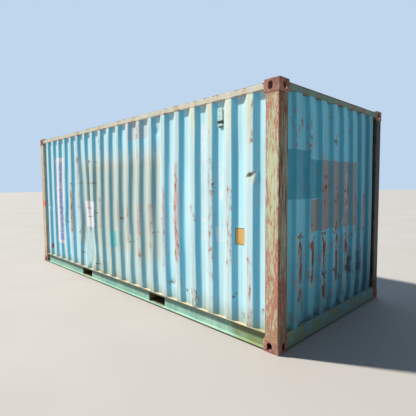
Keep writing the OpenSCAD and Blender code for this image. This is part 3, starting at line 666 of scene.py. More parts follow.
def ragged_mask():
    """Mask inside a distance of nought, whose edge is moved in and out by noise and then softened."""
    n, given, result = open_group(
        ragged_mask, {"Distance": 0.0, "Noise": 0.5, "Raggedness": 0.02, "Softness": 0.004},
        {"Mask": "Float"})
    distance = (given["Noise"] - 0.5) * given["Raggedness"] * 4.0 + given["Distance"]
    inside = n.math("DIVIDE", distance, given["Softness"] * -2.0)
    n.feed(result["Mask"], n.math("ADD", inside, 0.5, clamp=True))
    return n.tree


def aged_paint():
    """Paint that has faded in clouds, rusted in spots with a stain round them, and run in streaks.
    Rust grows where the rust value and the edge value are high, and grime where the ground is near."""
    n, given, result = open_group(
        aged_paint,
        {"Point": ORIGIN, "Paint": GREY, "Faded": GREY, "Rust Dark": GREY, "Rust Light": GREY,
         "Grime": GREY, "Grain": ORIGIN, "Fade": 0.5, "Rust": 0.2, "Runs": 0.2, "Edge": 0.0,
         "Grime Height": 0.3},
        {"Color": "Color", "Roughness": "Float", "Height": "Float"})
    point, stained = given["Point"], given["Rust Light"]
    cloud = n.noise(point, (1.3, 1.3, 0.9), 4.0, 0.6)
    mottle = n.noise(point, (13, 13, 7), 3.0, 0.6)
    fine = n.noise(point, (70, 70, 55), 3.0, 0.6)
    faded = n.step(cloud * 0.6 + mottle * 0.4, 0.40, 0.60)
    base = n.mix(faded * given["Fade"], given["Paint"], given["Faded"])
    base = n.toned(base, n.noise(point, (11, 11, 0.9), 4.0, 0.6) * 0.44 + 0.78)
    limit = (given["Edge"] * 0.55 + given["Rust"]) * -0.46 + 0.78
    pattern = (fine - 0.5) * 0.25 + n.noise(point, given["Grain"], 7.0, 0.66)
    stain = n.step(pattern, limit - 0.09, limit + 0.02)
    spots = n.step(pattern, limit, limit + 0.05)
    streaks = n.step(n.noise(point, (30, 30, 1.3), 3.0, 0.6), 0.54, 0.72)
    base = n.mix(stain * 0.45, base, stained)
    base = n.mix(streaks * n.step(cloud, 0.42, 0.62) * given["Runs"], base, stained)
    base = n.mix(spots, base, n.mix(n.step(fine, 0.38, 0.62), given["Rust Dark"], stained))
    near_ground = n.step(n.split(point)[2], 0.0, given["Grime Height"], 1.0, 0.0)
    grime = near_ground * n.step(mottle, 0.25, 0.65)
    n.feed(result["Color"], n.mix(grime * 0.75, base, given["Grime"]))
    n.feed(result["Roughness"], n.most(spots, grime) * 0.32 + 0.52)
    n.feed(result["Height"], spots * fine * 1.4 + fine * 0.12 - stain * 0.35)
    return n.tree


def zinc_coat():
    """Dull zinc with pale and dark flakes, white bloom in clouds and rust where it has worn through."""
    n, given, result = open_group(
        zinc_coat, {"Point": ORIGIN, "Zinc": GREY, "Rust Dark": GREY, "Rust Light": GREY, "Rust": 0.3},
        {"Color": "Color", "Roughness": "Float", "Metallic": "Float", "Height": "Float"})
    point = given["Point"]
    flakes = n.value("ShaderNodeTexVoronoi", [n.vector("MULTIPLY", point, (90, 90, 60))], output="Color")
    cloud = n.noise(point, (6, 6, 3), 4.0, 0.6)
    fine = n.noise(point, (80, 80, 60), 3.0, 0.6)
    base = n.toned(given["Zinc"], n.split(flakes)[0] * 0.25 + cloud * 0.6 + 0.55)
    limit = given["Rust"] * -0.4 + 0.80
    pattern = (fine - 0.5) * 0.3 + n.noise(point, (11, 11, 6), 6.0, 0.66)
    spots = n.step(pattern, limit, limit + 0.06)
    rust = n.mix(n.step(fine, 0.4, 0.6), given["Rust Dark"], given["Rust Light"])
    n.feed(result["Color"], n.mix(spots, base, rust))
    n.feed(result["Metallic"], spots * -0.6 + 0.6)
    n.feed(result["Roughness"], spots * 0.38 + 0.46)
    n.feed(result["Height"], fine * (spots + 0.15))
    return n.tree


def patches(n, place, boxes, noise=0.5, raggedness=0.0, softness=0.004):
    """Mask of a set of upright rectangles, each given as across from and to, and up from and to."""
    distances = []
    for x0, x1, z0, z1 in boxes:
        centre, half = ((x0 + x1) / 2, (z0 + z1) / 2, 0), ((x1 - x0) / 2, (z1 - z0) / 2, 0)
        distances.append(n.group(box_distance, Place=place, Centre=centre, Half_Size=half)["Distance"])
    return n.group(ragged_mask, Distance=n.least(*distances), Noise=noise, Raggedness=raggedness,
                   Softness=softness)["Mask"]


def open_material(name):
    """The nodes of a new material, and the point on the object that it shades."""
    material = bpy.data.materials.new(name)
    material.use_nodes = True
    material.node_tree.nodes.clear()
    n = Nodes(material.node_tree, material)
    return n, n.value("ShaderNodeTexCoord", output="Object")


BUMP_STRENGTH = 0.7
SPECULAR = 0.4


def close_material(n, base, roughness, height=None, relief=0.002, metallic=0.0):
    """Feeds the shader: colour, roughness and, through a bump, the height in parts of the relief."""
    shader = n.add("ShaderNodeBsdfPrincipled")
    sockets = shader.inputs
    n.feed(sockets["Base Color"], base)
    n.feed(sockets["Roughness"], roughness)
    n.feed(sockets["Metallic"], metallic)
    sockets["Specular IOR Level"].default_value = SPECULAR
    if height is not None:
        bump = n.add("ShaderNodeBump")
        bump.inputs["Distance"].default_value = relief
        bump.inputs["Strength"].default_value = BUMP_STRENGTH
        n.feed(bump.inputs["Height"], height)
        n.tree.links.new(bump.outputs[0], sockets["Normal"])
    n.tree.links.new(shader.outputs[0], n.add("ShaderNodeOutputMaterial").inputs["Surface"])
    return n.material


def close_aged(n, wear, base=None, relief=0.002):
    """Feeds the shader from an aged paint, whose colour may have been laid over."""
    return close_material(n, base or wear["Color"], wear["Roughness"], wear["Height"], relief)


def aged(n, point, paint, faded, grain=(10, 10, 5), dark="rust_dark", light="rust_light", **values):
    """The outputs of the aged paint group for one finish."""
    tint = paints()
    return n.group(aged_paint, Point=point, Paint=paint, Faded=faded, Grime=tint.grime, Grain=grain,
                   Rust_Dark=getattr(tint, dark), Rust_Light=getattr(tint, light), **values)


def edge_wear(n, point, node, width):
    """The wear along a member's edges. The member's box is folded about the container's middle."""
    low, high = (np.array(corner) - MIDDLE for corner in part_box(node))
    near, far = np.minimum(abs(low), abs(high)), np.maximum(abs(low), abs(high))
    near = np.where((low < 0) & (high > 0), -far, near)
    return n.group(member_edges, Point=point, Low=tuple(near), High=tuple(far), Width=width)["Edge"]


def painted(name, paint, faded, rust, node=None, width=0.014, runs=0.3, grime=0.3):
    """Finish of a painted part. A member, which is given by its node, has also rusted from its edges."""
    n, point = open_material(name)
    worn = edge_wear(n, point, node, width) if node else 0.0
    wear = aged(n, point, paint, faded, Fade=0.6, Rust=rust, Runs=runs, Edge=worn, Grime_Height=grime)
    return close_aged(n, wear)


# Marks of the right wall. Each has a paint, the share that it covers, its rectangles as across from and to,
# and up from and to, its ragged and soft borders, how far it has worn off and how softly
Patch = namedtuple("Patch", "paint cover boxes rough soft worn fray", defaults=(0.004, 0.004, 0.0, 0.0))
ROLLED = [
    Patch("over", 0.92, [(-1.19, 1.17, 0.62, 1.97)], 0.02, 0.07),
    Patch("over", 0.62, [(-1.1, 1.1, 0.1, 0.8)], 0.06, 0.25),
]
RIGHT_PATCHES = [
    Patch("cream", 0.4, [(-1.19, 1.19, 1.93, 2.09)], 0.03, 0.12),
    Patch("primer", 0.3, [(0.44, 0.92, 2.25, 2.52)], 0.01, 0.01),
    Patch("side_flat", 0.75, [(-0.96, -0.78, 0.52, 0.82), (-1.06, -0.9, 0.18, 0.5)], 0.02, 0.05),
    Patch("touch_up", 0.85, [(-0.125, 0.05, 0.66, 0.91)], 0.01, 0.008),
    Patch("film", 0.62, [(1.945, 2.012, 1, 2.3), (2.19, 2.295, 1, 1.16)], 0.004, 0.006, 0.5, 0.12),
    Patch("film", 0.62, [(2.235, 2.285, 1.42, 1.86)], 0.004, 0.006, 0.46, 0.12),
    Patch("film", 1, [(-2.3, -1.95, 0.49, 2.16)], 0.012, 0.004, 0.36, 0.04),
    Patch("stripe", 0.78, [(-2.125, -2, 0.54, 2.08)], 0.03, 0.006, 0.48, 0.14),
    Patch("film", 0.95, [(-1.05, -0.665, 0.91, 1.35)], 0.03),
    Patch("rust_light", 0.9, [(-0.94, -0.75, 1.225, 1.242), (-0.94, -0.75, 1.077, 1.092)], 0.004, 0.003),
    Patch("blot", 1, [(-2.62, -2.552, 0.32, 0.42)], 0.02, 0.02),
    # Painted highlight on the dent's facet under the crease.
    Patch("rail_faded", 0.9, [(2.655, 2.738, 1.645, 1.73)], 0.01, 0.015),
    # Painted shadow of the rear post on the wall beside it.
    Patch("gloom", 0.4, [(-2.9, -2.81, 0.1, 2.55)], 0.02, 0.06),
]
RIGHT_FIELDS = {
    "rusty": [
        (1.455, 1.5, 0.66, 1.95), (1.55, 1.59, 0.24, 1), (0.66, 0.76, 0.5, 1.38), (0.68, 0.78, 2.2, 2.5),
        (0.34, 0.42, 0.8, 1.36), (0.94, 1.03, 0.7, 1.36), (-0.24, -0.12, 0.9, 1.34),
        (-0.5, -0.4, 0.95, 1.46), (-1.6, -1.48, 0.45, 1.66), (1.8, 1.9, 0.18, 0.4),
        (1.8, 1.87, 1.22, 1.38), (2.36, 2.43, 0.72, 1.6), (2.705, 2.72, 2.05, 2.45), (2.66, 2.7, 0.2, 0.9),
        (-0.7, -0.5, 0.18, 0.44), (1.24, 1.31, 0.56, 1.6), (2.08, 2.16, 0.5, 1.9),
        (-0.1, 0.14, 0.18, 0.36), (-1.32, -1.2, 0.6, 2.3), (-0.42, -0.34, 2.15, 2.5),
    ],
    "bare": [
        (1.25, 1.29, 0.75, 1.5), (0.96, 0.99, 0.95, 1.34), (0.1, 0.14, 1, 1.4), (-1.26, -1.22, 1.2, 1.5),
        (-0.48, -0.44, 1.05, 1.4), (0.69, 0.73, 0.95, 1.34), (-0.22, -0.16, 1.17, 1.28),
        (0.66, 0.68, 2, 2.4),
    ],
    "peeled": [(1.49, 1.55, 0.98, 1.5), (1.505, 1.54, 0.7, 1.86), (-1.57, -1.52, 0.8, 1.5)],
    "dusty": [
        (2.6, 2.76, 1.8, 2.6), (2.34, 2.47, 1.8, 2.6), (2.05, 2.19, 1.9, 2.6), (1.77, 1.91, 2, 2.6),
    ],
}
NICKS = [
    (-1.58, -1.51, 1.655, 1.672), (-1.22, -1.14, 1.658, 1.675), (-2.66, -2.58, 1.21, 1.226),
    (-1.82, -1.72, 0.925, 0.94), (-0.645, -0.575, 1.16, 1.174), (0.165, 0.235, 1.122, 1.138),
    (0.42, 0.5, 0.788, 0.802), (1.864, 1.876, 0.18, 0.37), (1.345, 1.435, 0.366, 0.396),
    (2.15, 2.17, 1.53, 1.63), (1.66, 1.69, 0.32, 0.35), (2.57, 2.59, 0.24, 0.28),
    (2.46, 2.475, 0.43, 0.47), (-1.17, -1.07, 0.42, 0.44), (-0.66, -0.53, 0.293, 0.316),
    (2.81, 2.83, 0.35, 0.39), (-0.86, -0.81, 2.01, 2.04), (-0.62, -0.57, 1.998, 2.01),
    (-0.88, -0.6, 1.655, 1.665), (1.02, 1.14, 0.985, 0.995), (2.642, 2.672, 1.704, 1.715),
    (2.668, 2.702, 1.716, 1.729), (2.698, 2.748, 1.729, 1.748),
]
MOSS = [(1.9, 2.9, 0, 0.28), (-0.66, -0.26, 0, 0.31), (-2.9, 1.9, 0, 0.22)]
POST_MARKS = [Patch("marker", 0.7, [(-3.019, -2.85, 1.19, 1.3)], 0.01, 0.006)]
ORANGE_PANEL = (2.48, 2.584, 1.005, 1.168)
PANEL_RIM = 0.006

# Marks of the front wall
FRONT_PATCHES = [
    Patch("front_dark", 0.9, [(-1.066, -0.65, 1.47, 1.96), (-0.65, -0.398, 1.47, 1.875)]),
    Patch("front_grey", 0.9, [(-0.396, 0.5, 1.112, 1.88), (-0.635, -0.396, 1.112, 1.46)], 0.008),
    Patch("primer", 0.8, [(0.42, 0.49, 1.03, 1.46), (0.67, 0.74, 1.03, 1.5)], 0.03, 0.02, 0.42, 0.08),
    Patch("cream", 0.8, [(0.16, 0.26, 1.3, 1.72)], 0.04, 0.01, 0.5, 0.05),
    Patch("rail_faded", 0.55, [
        (-0.91, -0.75, 0.3, 1.15), (-0.66, -0.52, 0.4, 1.15), (-0.41, -0.26, 0.25, 1.15),
        (-0.14, 0.02, 0.4, 1.2), (0.1, 0.27, 0.3, 1.2),
    ], 0.06, 0.03, 0.54, 0.05),
]
FRONT_FIELDS = {
    "rusty": [
        (-0.83, -0.8, 0.45, 1.12), (-0.6, -0.59, 0.6, 1.24), (-0.345, -0.325, 0.36, 1.58),
        (-0.06, -0.03, 0.52, 1.52), (0.185, 0.215, 0.6, 1.62), (0.44, 0.47, 1.04, 1.44),
        (0.69, 0.71, 1.04, 1.48),
    ],
    "speckled": [
        (-0.95, -0.82, 1.95, 2.5), (-0.68, -0.54, 1.92, 2.3), (-0.18, -0.04, 2.05, 2.45),
        (0.24, 0.34, 2.24, 2.44), (0.76, 0.88, 2.28, 2.42), (-0.42, -0.28, 1.55, 1.95), (-1, 0.8, 0.2, 1),
        (-0.15, 0, 1.6, 1.9),
    ],
}
FRONT_SOOT = [(0.3, 0.4, 0.5, 0.72), (0.6, 0.7, 0.52, 0.72), (-0.9, 0.6, 0.16, 0.21)]
FRONT_NICKS = [
    (-0.88, -0.84, 1.078, 1.094), (-0.76, -0.7, 1.072, 1.09), (-0.54, -0.5, 1.05, 1.074),
    (-0.38, -0.3, 1.064, 1.092), (-0.11, -0.05, 1.056, 1.078), (0.05, 0.09, 1.06, 1.1),
    (-0.62, -0.57, 0.632, 0.652), (-0.36, -0.3, 0.624, 0.65), (-0.13, -0.09, 0.63, 0.654),
    (-0.65, -0.62, 2.088, 2.112), (-0.14, -0.09, 2.092, 2.114), (-0.36, -0.3, 1.698, 1.706),
    (-0.36, -0.3, 1.582, 1.598), (-0.1, -0.06, 1.56, 1.58), (0.15, 0.21, 1.53, 1.55),
    (-0.11, -0.07, 1.42, 1.44),
]


def marked(n, place, point, paint, marks, rolled=None):
    """A paint with patches laid over it one by one, broken up by noise where they have worn off. The
    patches may all be of one rolled paint."""
    ragged = n.noise(point, (9, 9, 6), 5.0, 0.65)
    wear = n.noise(point, (9, 9, 18), 5.0, 0.7)
    for mark in marks:
        cover = patches(n, place, mark.boxes, ragged, mark.rough, mark.soft) * mark.cover
        if mark.worn:
            cover = cover * n.step(wear, mark.worn - mark.fray, mark.worn + mark.fray)
        paint = n.mix(cover, paint, rolled or getattr(paints(), mark.paint))
    return paint


def wave_tones(n, paint):
    """Paint of a corrugated sheet, given by the name of its sound paint, with painted light and shade over
    real fading: the dark sound paint on slopes turned from the key light, a pale tone painting light on
    those that face it, and paler inner and outer flats."""
    tint = paints()
    ridge, groove, bleach = (n.attribute(label) for label in ("ridge", "groove", "bleach"))
    bleached, flat, crest = (getattr(tint, f"{paint}_{part}") for part in ("bleached", "flat", "ridge"))
    slope = n.mix(n.step(bleach, 0.35, 0.75), getattr(tint, paint), bleached)
    return n.mix(ridge, n.mix(groove, slope, flat), crest)


def side_paint(name, right):
    """Finish of a side wall, whose outer flats rust first. The right one has its marks."""
    n, point = open_material(name)
    tint = paints()
    x, _, z = n.split(point)
    place = n.join(x, z, 0.0)
    ridge = n.attribute("ridge")
    streaks = n.noise(point, (46, 46, 0.8), 3.0, 0.6)
    paint = wave_tones(n, "side")
    if right:
        paint = marked(n, place, point, paint, ROLLED, wave_tones(n, "over"))
        paint = marked(n, place, point, paint, RIGHT_PATCHES)
        flakes = n.noise(point, (24, 24, 2.5), 5.0, 0.7)
        bare, peeled = n.attribute("bare"), n.attribute("peeled")
        bare = n.most(bare * n.step(flakes, 0.40, 0.66), peeled * n.step(flakes, 0.30, 0.60))
        paint = n.mix(bare * 0.82, paint, tint.primer)
        dusty = n.attribute("dusty") * ridge * n.step(z, 1.8, 2.6, 0.0, 0.85)
        paint = n.mix(dusty, paint, tint.dust)
        rust = n.attribute("rusty") * 0.24 + ridge * 0.12 + peeled * 0.16 + 0.08
    else:
        regions = n.step(n.noise(point, (1.6, 1.6, 1.1)), 0.46, 0.62, 0.1, 0.38)
        rust = ridge * regions + 0.05
    paint = n.mix(n.step(streaks, 0.50, 0.74, 0.0, 0.42), paint, tint.side_bleached)
    paint = n.mix(n.step(streaks, 0.28, 0.50, 0.24, 0.0), paint, tint.over)
    wear = aged(n, point, paint, n.mix(0.25, paint, tint.side_bleached), (24, 24, 7), Fade=0.6, Rust=rust,
                Runs=ridge * 0.14 + 0.04, Grime_Height=0.30)
    return close_aged(n, wear, side_marks(n, place, point, wear["Color"]) if right else None)


def side_marks(n, place, point, base):
    """Moss, nicks and the orange panel in its dark rim, laid over a side wall's aged paint."""
    tint = paints()
    ragged = n.noise(point, (9, 9, 6), 5.0, 0.65)
    grain = n.noise(point, (60, 60, 40), 3.0, 0.6)
    base = n.mix(patches(n, place, MOSS, ragged, 0.02, 0.12) * 0.55, base, tint.grime)
    nicks = patches(n, place, NICKS, n.noise(point, (40, 40, 40)), 0.03, 0.007)
    base = n.mix(nicks * 0.85, base, n.mix(n.step(grain, 0.50, 0.60), tint.rust_dark, tint.grime))
    x0, x1, z0, z1 = ORANGE_PANEL
    rim = (x0 - PANEL_RIM, x1 + PANEL_RIM, z0 - PANEL_RIM, z1 + PANEL_RIM)
    dirt = n.step(n.noise(point, (14, 14, 9), 4.0), 0.46, 0.72, 0.0, 0.6)
    panel = n.mix(dirt, tint.panel, tint.soot)
    base = n.mix(patches(n, place, [rim], softness=0.002), base, tint.soot)
    return n.mix(patches(n, place, [ORANGE_PANEL], softness=0.002), base, panel)


def front_paint():
    """Finish of the front wall, with its painted panels, the rust on its outer flats, painted shade on its
    slopes, and painted shade that deepens towards its left side and its foot.
    """
    n, point = open_material("front_wall_paint")
    tint = paints()
    _, y, z = n.split(point)
    place = n.join(y, z, 0.0)
    paint = marked(n, place, point, tint.front_flat, FRONT_PATCHES)
    # Painted shade: the slopes take the darker front tone, the flats keep the paler one.
    flats = n.most(n.attribute("ridge"), n.attribute("groove"))
    paint = n.mix(flats, n.mix(0.4, tint.front, paint), paint)
    spots = n.attribute("rusty")
    rust = spots * 0.42 + n.attribute("speckled") * 0.23 + 0.14
    wear = aged(n, point, paint, n.mix(0.3, paint, tint.front_flat), (22, 22, 7), Fade=0.5, Rust=rust,
                Runs=spots * 0.9 + 0.08, Grime_Height=0.5)
    ragged = n.noise(point, (11, 11, 7), 5.0, 0.65)
    soot = patches(n, place, FRONT_SOOT, ragged, 0.10, 0.05)
    nicks = patches(n, place, FRONT_NICKS, n.noise(point, (30, 30, 30)), 0.03, 0.008)
    base = n.mix(soot * 0.7, wear["Color"], tint.soot)
    base = n.mix(nicks * 0.85, base, tint.rust_dark)
    # Painted shade, deeper towards the front wall's left side and towards its foot.
    gloom = n.step(y, 0.1, 1.2, 0.08, 0.5) + n.step(z, 0.1, 1.2, 0.30, 0.0)
    return close_aged(n, wear, n.mix(gloom, base, tint.gloom))


POST = "corner_post_front_left"


def post_paint(name, paint, faded, rust, marks=(), dark="rust_mid", light="rust_pink"):
    """Finish of a corner post: long streaks of rust, as much as given for its foot, middle and head, and
    streaky painted shade on its end faces."""
    n, point = open_material(name)
    x, _, z = n.split(point)
    streaks = n.noise(point, (80, 80, 3), 5.0, 0.68)
    blotches = n.noise(point, (10, 10, 3), 5.0, 0.66)
    foot, middle, head = rust
    level = n.most(n.step(z, 0.6, 1.3, foot, middle), n.step(z, 1.9, 2.4, middle, head))
    level = level + (streaks - 0.5) * 1.1 + (blotches - 0.5) * 1.2
    wear = aged(n, point, paint, faded, (60, 60, 9), dark, light, Fade=0.9, Rust=level, Runs=0.7,
                Edge=edge_wear(n, point, POST, 0.03), Grime_Height=0.4)
    scale = n.step(streaks, 0.56, 0.66) * n.step(blotches, 0.46, 0.60, 0.0, 0.55)
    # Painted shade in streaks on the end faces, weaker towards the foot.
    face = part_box(POST)[1].x
    end = n.step(n.math("ABSOLUTE", x), face - 0.004, face - 0.001)
    end = end * n.step(streaks, 0.42, 0.60, 0.30, 0.85) * n.step(z, 0.6, 1.9, 0.65, 1.0)
    base = n.mix(end, n.mix(scale, wear["Color"], faded), paints().post_shade)
    return close_aged(n, wear, marked(n, n.join(x, z, 0.0), point, base, marks), 0.003)


def bottom_rail_paint():
    """Finish of the bottom side rails: flanges scuffed to cream above, a foot painted dark with painted
    shade and rust below, a band of painted shade under the upper flange, and moss that grows towards the
    front."""
    n, point = open_material("bottom_rail_paint")
    tint = paints()
    x, _, z = n.split(point)
    low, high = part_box("bottom_side_rail_left")
    cloud = n.noise(point, (7, 7, 12), 5.0, 0.65)
    top = n.step(z, high.z - 0.026, high.z - 0.020)
    foot = n.step(z, low.z + 0.001, low.z + 0.004, 1.0, 0.0)
    ledge = top * 0.85
    paint, faded = n.mix(ledge, tint.sill, tint.ledge), n.mix(ledge, tint.sill_faded, tint.ledge)
    # The foot's paint is painted shadow of the gap under the rail; its faded paint is real rust.
    paint, faded = n.mix(foot, paint, tint.soot), n.mix(foot, faded, tint.rust_dark)
    wear = aged(n, point, paint, faded, (12, 12, 12), light="rust_mid", Fade=0.7,
                Rust=foot * 0.4 + top * 0.2 + 0.12, Runs=0.2, Grime_Height=0.035)
    moss = n.step(x, 2.0, 2.8, -0.1, 0.65) + (cloud - 0.5) - top * 0.3
    base = n.mix(n.step(moss, 0.18, 0.5, 0.0, 0.8), wear["Color"], tint.moss)
    # Painted shade on the web under the upper flange.
    under = n.step(z, low.z + 0.078, low.z + 0.098, 0.0, 0.34) * (1.0 - top)
    return close_aged(n, wear, n.mix(under, base, tint.soot))


def casting_finish():
    """Finish of the corner castings: rust all over with a little paint left in the hollows."""
    n, point = open_material("casting_rust")
    tint = paints()
    coarse = n.noise(point, (16, 16, 14), 6.0, 0.65)
    fine = n.noise(point, (120, 120, 120), 3.0, 0.6)
    rust = n.mix(n.step(coarse, 0.36, 0.64), tint.casting, tint.casting_light)
    rust = n.mix(n.step(fine, 0.54, 0.76), rust, tint.rust_dark)
    base = n.mix(n.step(coarse, 0.62, 0.68, 0.0, 0.5), rust, tint.rail)
    worn = edge_wear(n, point, "corner_casting_front_left_top", 0.008)
    base = n.mix(worn * 0.4, base, tint.casting_edge)
    return close_material(n, base, n.step(coarse, 0.3, 0.7, 0.92, 0.78), coarse * 0.8 + fine * 0.5, 0.003)


def galvanised_finish(name, rust):
    """Finish of galvanised door gear."""
    n, point = open_material(name)
    tint = paints()
    coat = n.group(zinc_coat, Point=point, Zinc=tint.galvanised, Rust=rust, Rust_Dark=tint.rust_dark,
                   Rust_Light=tint.rust_light)
    return close_material(n, coat["Color"], coat["Roughness"], coat["Height"], 0.0015, coat["Metallic"])


def rubber_finish():
    """Finish of the door seals: dull black rubber with pale dust."""
    n, point = open_material("seal_rubber")
    dust = n.noise(point, (20, 20, 6), 4.0, 0.6)
    base = n.mix(n.step(dust, 0.48, 0.75, 0.0, 0.35), paints().rubber, paints().rubber_dust)
    return close_material(n, base, n.step(dust, 0.3, 0.7, 0.62, 0.86), dust, 0.001)


def plywood_finish():
    """Finish of the floor boards: long grain with scuffs from loads."""
    n, point = open_material("floor_plywood")
    tint = paints()
    grain = n.noise(point, (3, 90, 60), 5.0, 0.65)
    scuffs = n.noise(point, (2.4, 4, 4), 5.0, 0.6)
    wood = n.mix(n.step(grain, 0.35, 0.65), tint.plywood, tint.plywood_pale)
    base = n.mix(n.step(scuffs, 0.5, 0.66, 0.0, 0.7), wood, tint.plywood_scuffed)
    return close_material(n, base, n.step(scuffs, 0.3, 0.7, 0.7, 0.85), grain, 0.001)


SLOT_PITCH = 0.016
WIDE_SLOT = (0.034, 0.068)


def vent_finish():
    """Finish of the moulded ventilators: weathered plastic with painted shadow in its slots, the widest
    near the foot, and along its foot.
    """
    n, point = open_material("vent_plastic")
    tint = paints()
    z = n.split(point)[2]
    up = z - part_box("ventilators")[0].z
    streaks = n.noise(point, (60, 60, 6), 4.0, 0.6)
    base = n.mix(n.step(streaks, 0.45, 0.7, 0.0, 0.3), tint.vent, tint.vent_stain)
    wave = n.math("SINE", z * (2 * math.pi / SLOT_PITCH))
    low, high = WIDE_SLOT
    wide = n.step(up, low, low + 0.003) * n.step(up, high, high + 0.003, 1.0, 0.0)
    # Painted shadow of the slots, the wide slot and the foot, with a matching bump.
    slots = n.most(n.step(wave, 0.3, 0.8, 0.0, 0.22), wide, n.step(up, 0.008, 0.014, 1.0, 0.0))
    base = n.mix(slots, base, tint.vent_slot)
    return close_material(n, base, n.step(streaks, 0.3, 0.7, 0.55, 0.8), slots * -1.0, 0.002)


def dress(names, material):
    """Gives one finish to every solid of the frame whose name starts with one of the given names."""
    for name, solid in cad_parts.items():
        if name.startswith(names):
            solid.data.materials.clear()
            solid.data.materials.append(material)


# Weld beads and fasteners

BEAD = 0.0035
BEAD_STEP = 0.012
BEAD_SIDES = 6
BEAD_RIPPLE = 0.18
UPRIGHT, LEVEL = (0, 0, 1.0), (1.0, 0, 0)


def unit(vectors):
    """Vectors divided by their lengths."""
    return vectors / np.linalg.norm(vectors, axis=1)[:, None]


def bead(path, radius, seed):
    """A weld bead along a path: a ring of points round each point of the path, square to it, whose radius
    swells and shrinks with random ripples. Its ends are closed by their rings."""
    path = np.asarray(path, float)
    ahead = unit(np.gradient(path, axis=0))
    side = unit(np.cross(ahead, np.where(abs(ahead[:, 2:]) < 0.7, [UPRIGHT], [LEVEL])))
    up = np.cross(side, ahead)
    turn = 2 * np.pi * np.arange(BEAD_SIDES) / BEAD_SIDES
    ripple = radius * (1 + BEAD_RIPPLE * np.random.default_rng(seed).uniform(-1, 1, len(path)))
    ring = np.cos(turn)[None, :, None] * side[:, None] + np.sin(turn)[None, :, None] * up[:, None]
    points = path[:, None] + ring * ripple[:, None, None]
    faces = grid_faces(len(path), BEAD_SIDES, close=True)
    last = (len(path) - 1) * BEAD_SIDES
    faces += [[*range(BEAD_SIDES)][::-1], [*range(last, last + BEAD_SIDES)]]
    return points.reshape(-1, 3), faces


def wave_beads(node, wave, seed, place):
    """Beads along the foot and the head of a corrugated sheet, following its outer surface."""
    s = np.arange(0, wave_span(node), BEAD_STEP)
    x, y = np.broadcast_arrays(*place(s, rounded_depth(s, wave)))
    return [bead(np.stack([x, y, np.full_like(s, corner.z)], axis=-1), BEAD, seed + k)
            for k, corner in enumerate(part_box(node))]


def joined(name, parts, material):
    """One piece from many lists of points and faces."""
    points, faces, start = [], [], 0
    for part_points, part_faces in parts:
        points.append(part_points)
        faces += [[start + corner for corner in face] for face in part_faces]
        start += len(part_points)
    return new_piece(name, np.concatenate(points), faces, material)


def straight(start, end):
    """Points along a straight line."""
    start, end = np.array(start, float), np.array(end, float)
    count = max(2, int(np.linalg.norm(end - start) / BEAD_STEP))
    return start + (end - start) * np.linspace(0, 1, count)[:, None]


def dome(centre, axis, radius, rise, sides=12, rings=4):
    """A rounded fastener head: rings whose radius and height follow a quarter of an ellipse."""
    centre, axis = np.array(centre), np.array(axis, float)
    u = np.cross(axis, UPRIGHT if abs(axis[2]) < 0.5 else LEVEL)
    v = np.cross(axis, u)
    tilt = np.linspace(0, np.pi / 2, rings + 1)[:-1, None, None]
    turn = 2 * np.pi * np.arange(sides)[:, None] / sides
    circle = np.cos(turn) * u + np.sin(turn) * v
    points = centre + radius * np.cos(tilt) * circle + rise * np.sin(tilt) * axis
    points = np.concatenate([points.reshape(-1, 3), [centre + rise * axis]])
    top = (rings - 1) * sides
    faces = grid_faces(rings, sides, close=True)
    faces += [[top + k, top + (k + 1) % sides, top + sides] for k in range(sides)]
    faces.append([*range(sides)][::-1])
    return points, faces


def runs_along(node, axis, gap):
    """The separate stretches that a node's vertices cover along an axis, as from and to."""
    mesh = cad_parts[node].data
    co = np.empty(len(mesh.vertices) * 3, np.float32)
    mesh.vertices.foreach_get("co", co)
    values = np.unique(co.reshape(-1, 3)[:, axis])
    cuts = np.flatnonzero(np.diff(values) > gap)
    starts = np.concatenate([[0], cuts + 1])
    ends = np.concatenate([cuts, [len(values) - 1]])
    return [(float(values[a]), float(values[b])) for a, b in zip(starts, ends)]


# Operators

class CONTAINER_OT_side_walls(bpy.types.Operator):
    """Press the two corrugated side walls, with their dents and their worn paint"""

    bl_idname = "container.side_walls"
    bl_label = "Side Walls"

    def execute(self, context):
        pressed_sheet(
            "side_wall_right", side_wave(), side_place(SIDES["right"]), axis=0, dents=RIGHT_DENTS,
            waviness=Waviness(0.0026, 0.009, (0.30, 0.46), 0.0045, mostly_middle), seed=11,
            material=side_paint("side_wall_right_paint", True), flip=True,
            extra_rows=CREASE_ROWS, fields=RIGHT_FIELDS)
        pressed_sheet(
            "side_wall_left", side_wave(), side_place(SIDES["left"]), axis=0, dents=LEFT_DENTS,
            waviness=Waviness(0.0022, 0.006, (0.34, 0.52), 0.0045, all_along), seed=23,
            material=side_paint("side_wall_left_paint", False))
        return {"FINISHED"}


class CONTAINER_OT_front_wall(bpy.types.Operator):
    """Press the corrugated front wall, with its dents, panels and rust"""

    bl_idname = "container.front_wall"
    bl_label = "Front Wall"

    def execute(self, context):
        pressed_sheet(
            "front_wall", front_wave(), front_place, axis=1, dents=FRONT_DENTS,
            waviness=Waviness(0.0024, 0.003, (0.26, 0.38), 0.0015, all_along), seed=37,
            material=front_paint(), fields=FRONT_FIELDS, drifts=FRONT_DRIFTS)
        return {"FINISHED"}


class CONTAINER_OT_corner_frame(bpy.types.Operator):
    """Finish the eight corner castings and the four corner posts"""

    bl_idname = "container.corner_frame"
    bl_label = "Castings and Posts"

    def execute(self, context):
        tint = paints()
        dress("corner_casting", casting_finish())
        dress("corner_post_front_right",
              post_paint("front_post_paint", tint.post, tint.post_faded, (0.76, 0.50, 0.74)))
        # The left front post is painted dark all over: painted shade, with a little rust.
        dress("corner_post_front_left",
              post_paint("shaded_post_paint", tint.post_dark, tint.gloom, (0.26, 0.20, 0.30),
                         dark="rust_dark", light="rust_mid"))
        dress("corner_post_rear",
              post_paint("rear_post_paint", tint.rear, tint.rear_faded, (0.44, 0.22, 0.26), POST_MARKS))
        return {"FINISHED"}


